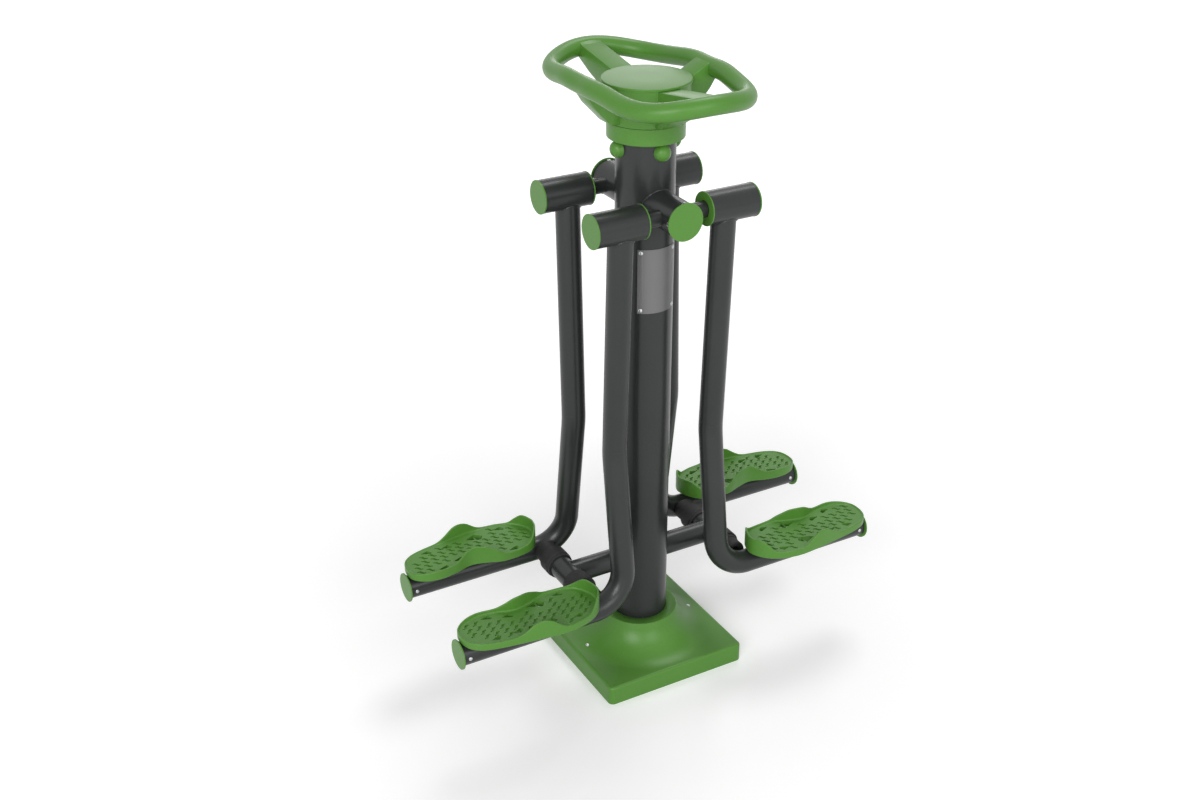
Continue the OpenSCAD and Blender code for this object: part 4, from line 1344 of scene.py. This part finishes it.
@dataclass
class Buffers:
    """Black rubber buffers on the stop tubes' ends, with stepped sleeves and hollow noses."""

    stop_x: float = STOP_X
    stop_z: float = STOP_Z
    sleeve_in: float = 38.0
    sleeve_out: float = 85.0
    sleeve_r: float = 36.0
    sleeve_step: float = 2.0
    sleeve_step_at: float = 9.0
    sleeve_ramp: float = 1.0
    tube_r: float = 29.6
    tube_end: float = 80.1
    neck: float = 2.5
    neck_long: float = 9.0
    neck_ramp: float = 2.0
    nose_r: float = 29.0
    nose_end: float = 125.6
    hollow_r: float = 17.0
    hollow_taper: float = 1.5
    hollow_depth: float = 25.0

    def profile(self) -> list[Flat]:
        """A buffer's outline as (place along Y, radius)."""
        thin = self.sleeve_r - self.sleeve_step
        step = self.sleeve_in + self.sleeve_step_at
        neck_r = self.nose_r + self.neck
        neck_end = self.sleeve_out + self.neck_long
        floor = self.nose_end - self.hollow_depth
        return filleted([
            (self.tube_end, AXIS_R, 0), (self.tube_end, self.tube_r, 0), (self.sleeve_in, self.tube_r, 0),
            (self.sleeve_in, thin, 1.0), (step, thin, 0.6), (step + self.sleeve_ramp, self.sleeve_r, 0.8),
            (self.sleeve_out, self.sleeve_r, 3.5), (self.sleeve_out, neck_r, 1.2), (neck_end, neck_r, 1.5),
            (neck_end + self.neck_ramp, self.nose_r, 1.5), (self.nose_end, self.nose_r, 4.0),
            (self.nose_end, self.hollow_r, 2.5), (floor, self.hollow_r - self.hollow_taper, 3.0),
            (floor, AXIS_R, 0)], 6)

    def build(self) -> bpy.types.Object:
        """Turns one buffer for each end of each stop tube.

        Returns:
            The piece.
        """
        profile = self.profile()
        draft = Draft()
        for side_x in (-1, 1):
            for side_y in (-1, 1):
                draft.lathe(profile, lambda y, r, a, sx=side_x, sy=side_y: (
                    sx * self.stop_x + r * math.cos(a), sy * y, self.stop_z + r * math.sin(a)), 72)
        buffers = draft.to_object("rubber_buffers", sharp=45)
        return take_place(buffers, "stand", Slot.RUBBER, "buffers")


@dataclass
class Welds:
    """Thin weld beads where the tubes meet, under the same powder coat."""

    post_r: float = 70.0
    stub_r: float = 41.5
    hinge_z: float = 1256.0
    hinge_y: float = 125.0
    housing_r: float = 39.5
    arm_r: float = 29.8
    arm_x: float = 136.0
    cross_r: float = 29.0
    stop_r: float = 29.5
    stop_x: float = STOP_X
    stop_z: float = STOP_Z
    bead_r: float = 2.2
    ripple: float = 0.10
    ripple_turn: float = 1.9

    def bead(self, number: int) -> float:
        """Radius of a bead at one of its points, rippled as welding leaves it."""
        return self.bead_r * (1.0 + self.ripple * math.sin(number * self.ripple_turn))

    def build(self) -> None:
        """Makes the beads of the stand and of each leg."""
        draft = Draft()
        for side in (-1, 1):
            draft.sweep([(self.stub_r * math.cos(a),
                          side * math.sqrt(self.post_r ** 2 - (self.stub_r * math.cos(a)) ** 2),
                          self.hinge_z + self.stub_r * math.sin(a)) for a in round_angles(120)], self.bead)
            draft.sweep([(side * math.sqrt(self.post_r ** 2 - (self.cross_r * math.cos(a)) ** 2),
                          self.cross_r * math.cos(a),
                          self.stop_z + self.cross_r * math.sin(a)) for a in round_angles(96)], self.bead)
            draft.sweep([(side * (self.stop_x
                                  - math.sqrt(self.stop_r ** 2 - (self.cross_r * math.sin(a)) ** 2)),
                          self.cross_r * math.cos(a),
                          self.stop_z + self.cross_r * math.sin(a)) for a in round_angles(96)], self.bead)
        beads = draft.to_object("stand_weld_beads")
        take_place(beads, "stand", Slot.CHARCOAL)
        for station in Station:
            leg = Draft()
            leg.sweep([(self.arm_x + self.arm_r * math.cos(a), self.hinge_y + self.arm_r * math.sin(a),
                        self.hinge_z - math.sqrt(self.housing_r ** 2 - (self.arm_r * math.sin(a)) ** 2))
                       for a in round_angles(96)], self.bead)
            bead = leg.to_object(station.prefix + "_weld_bead", station.sides)
            take_place(bead, station.body, Slot.CHARCOAL)


@dataclass
class CarriedSolids:
    """Solids that stay as they are and get soft edges and a finish."""

    real_edge: float = 32.0
    soft_edge: float = 38.0
    join_within: float = 2e-5
    edge_w: float = 0.9
    narrow: dict[str, float] = field(default_factory=lambda: {
        "label_plate": 0.25, "rivets": 0.3, "screws": 0.4, "bearings": 0.5, "nuts": 0.8})
    plain: tuple[str, ...] = ("post",)

    def smoothing(self) -> bpy.types.NodeTree:
        """Node group that joins a solid's faces and keeps only its real edges sharp.

        Returns:
            The geometry node group.
        """
        tree = bpy.data.node_groups.new("smooth_by_edge", "GeometryNodeTree")
        tree.interface.new_socket("Geometry", in_out="INPUT", socket_type="NodeSocketGeometry")
        tree.interface.new_socket("Geometry", in_out="OUTPUT", socket_type="NodeSocketGeometry")
        w = Wiring(tree)
        way_in = w.node("NodeGroupInput")
        bare = w.node("GeometryNodeRemoveAttribute", None, Geometry=way_in.outputs[0], Name="custom_normal")
        joined = w.node("GeometryNodeMergeByDistance", None, Geometry=bare.outputs[0],
                        Distance=self.join_within)
        faces = w.node("GeometryNodeSetShadeSmooth", {"domain": "FACE"}, Geometry=joined.outputs[0])
        angle = w.node("GeometryNodeInputMeshEdgeAngle").outputs[0]
        sharp = w.node("FunctionNodeCompare", {"data_type": "FLOAT", "operation": "GREATER_THAN"},
                       i0=angle, i1=math.radians(self.real_edge)).outputs[0]
        edges = w.node("GeometryNodeSetShadeSmooth", {"domain": "EDGE"}, Geometry=faces.outputs[0],
                       Selection=sharp, Shade_Smooth=False)
        w.node("NodeGroupOutput", None, i0=edges.outputs[0])
        return tree

    def dress_all(self, nodes: dict[str, bpy.types.Object], slots: dict[str, str]) -> None:
        """Gives every solid its soft edges and its finish.

        Args:
            nodes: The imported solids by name.
            slots: Material slot of each.
        """
        tree = self.smoothing()
        for name, obj in nodes.items():
            smooth = obj.modifiers.new("smooth_by_edge", "NODES")
            smooth.node_group = tree
            if name not in self.plain:
                soft = obj.modifiers.new("soft_edges", "BEVEL")
                soft.limit_method = "ANGLE"
                soft.angle_limit = math.radians(self.soft_edge)
                soft.segments = 2
                soft.width = next((w for key, w in self.narrow.items() if key in name), self.edge_w) * MM
                soft.harden_normals = True
                soft.use_clamp_overlap = True
            dress(obj, Slot(slots[name]))
            LOG.info("solid %s in %s", name, slots[name])


@dataclass(frozen=True)
class Lamp:
    """Square soft lamp, with its place and side in metres and its power in watts."""

    name: str
    at: Point
    side: float
    power: float

    def place(self, target: Point) -> None:
        """Places the lamp, turned towards a target."""
        data = bpy.data.lights.new(self.name, "AREA")
        data.shape = "SQUARE"
        data.size = self.side
        data.energy = self.power
        lamp = bpy.data.objects.new(self.name, data)
        lamp.location = self.at
        lamp.rotation_euler = (Vector(self.at) - Vector(target)).to_track_quat("Z", "Y").to_euler()
        bpy.context.scene.collection.objects.link(lamp)


@dataclass
class Studio:
    """Camera, lamps, world and floor."""

    camera_at: Point = (-1.70975, -2.84213, 2.47180)
    camera_turn: Point = (62.3073, 0.0, -29.2448)
    lens: float = 45.657
    lamp_target: Point = (0.0, 0.0, 0.7)
    lamps: tuple[Lamp, ...] = (
        Lamp("soft_key", (-10.0, -9.2, 7.0), 7.0, 1120.0), Lamp("soft_fill", (0.8, -13.2, 6.0), 7.0, 560.0),
        Lamp("soft_top", (5.4, 4.6, 13.5), 5.0, 560.0), Lamp("low_glow", (7.7, 12.9, 4.1), 3.2, 75.0))
    white: float = 0.984
    room_light: float = 0.32
    floor_half: float = 60.0
    floor_shade: float = 0.86
    # glow on the floor for the camera and reflections, growing with distance from the machine: painted shade
    # on the floor near it, on top of its real shadow
    floor_lift: float = 0.26
    far_painted_glow: float = 0.60
    lift_from: float = 0.5
    lift_to: float = 3.2

    def camera(self) -> None:
        """Places the camera where the photograph was taken."""
        data = bpy.data.cameras.new("photo_camera")
        data.sensor_fit = "HORIZONTAL"
        data.sensor_width = 36.0
        data.lens = self.lens
        data.clip_end = 200.0
        cam = bpy.data.objects.new("photo_camera", data)
        cam.location = self.camera_at
        cam.rotation_euler = [math.radians(v) for v in self.camera_turn]
        bpy.context.scene.collection.objects.link(cam)
        bpy.context.scene.camera = cam

    def world(self) -> None:
        """Even pale surroundings, seen white by the camera and by reflections."""
        world = bpy.data.worlds.new("pale_room")
        bpy.context.scene.world = world
        w = fresh_wiring(world)
        light = w.spread(w.seen(), 0.0, 1.0, self.room_light, self.white)
        back = w.node("ShaderNodeBackground", None, Color=(1.0, 1.0, 1.0), Strength=light)
        w.node("ShaderNodeOutputWorld", None, Surface=back.outputs[0])

    def floor_material(self) -> bpy.types.Material:
        """Pale floor finish that keeps the shadow, with a painted glow that grows away from the machine, so
        the floor near it is darker by painted shade.

        Returns:
            The material.
        """
        material = bpy.data.materials.new("pale_floor")
        w = fresh_wiring(material)
        shader = w.node("ShaderNodeBsdfDiffuse", None, Color=(self.floor_shade,) * 3)
        # painted glow: the floor's glow grows with distance from the machine, which paints shade on the floor
        # near it
        away = w.node("ShaderNodeVectorMath", {"operation": "LENGTH"}, i0=w.place()).outputs[1]
        painted_glow = w.spread(away, self.lift_from, self.lift_to, self.floor_lift, self.far_painted_glow)
        glow = w.node("ShaderNodeEmission", None, Color=(1.0, 1.0, 1.0),
                      Strength=w.math("MULTIPLY", w.seen(), painted_glow))
        both = w.node("ShaderNodeAddShader", None, i0=shader.outputs[0], i1=glow.outputs[0])
        w.node("ShaderNodeOutputMaterial", None, Surface=both.outputs[0])
        return material

    def floor(self) -> None:
        """Places the floor, as part of the studio and not of the machine."""
        half = self.floor_half
        mesh = bpy.data.meshes.new("studio_floor")
        mesh.from_pydata([(-half, -half, 0), (half, -half, 0), (half, half, 0), (-half, half, 0)], [],
                         [(0, 1, 2, 3)])
        plane = bpy.data.objects.new("studio_floor", mesh)
        bpy.context.scene.collection.objects.link(plane)
        mesh.materials.append(self.floor_material())

    def build(self) -> None:
        """Sets up the whole studio."""
        bpy.context.scene.view_settings.view_transform = "Standard"
        self.camera()
        for lamp in self.lamps:
            lamp.place(self.lamp_target)
        self.world()
        self.floor()
        LOG.info("studio ready")


def main() -> None:
    """Loads the frame and builds the machine, sub-assembly by sub-assembly."""
    logging.basicConfig(level=logging.INFO, format="%(name)s: %(message)s")
    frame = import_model()
    slots = {part["node"]: part["material_slot"] for part in frame["record"]["subparts"]}
    Studio().build()
    CarriedSolids().dress_all(frame["nodes"], slots)
    BaseCover().build()
    HandWheel().build()
    HubLid().build()
    BoltCaps().build()
    Buffers().build()
    Welds().build()
    for station in Station:
        FootPlate(station).build()
        FootPlateSaddle(station).build()


if __name__ == "__main__":
    main()
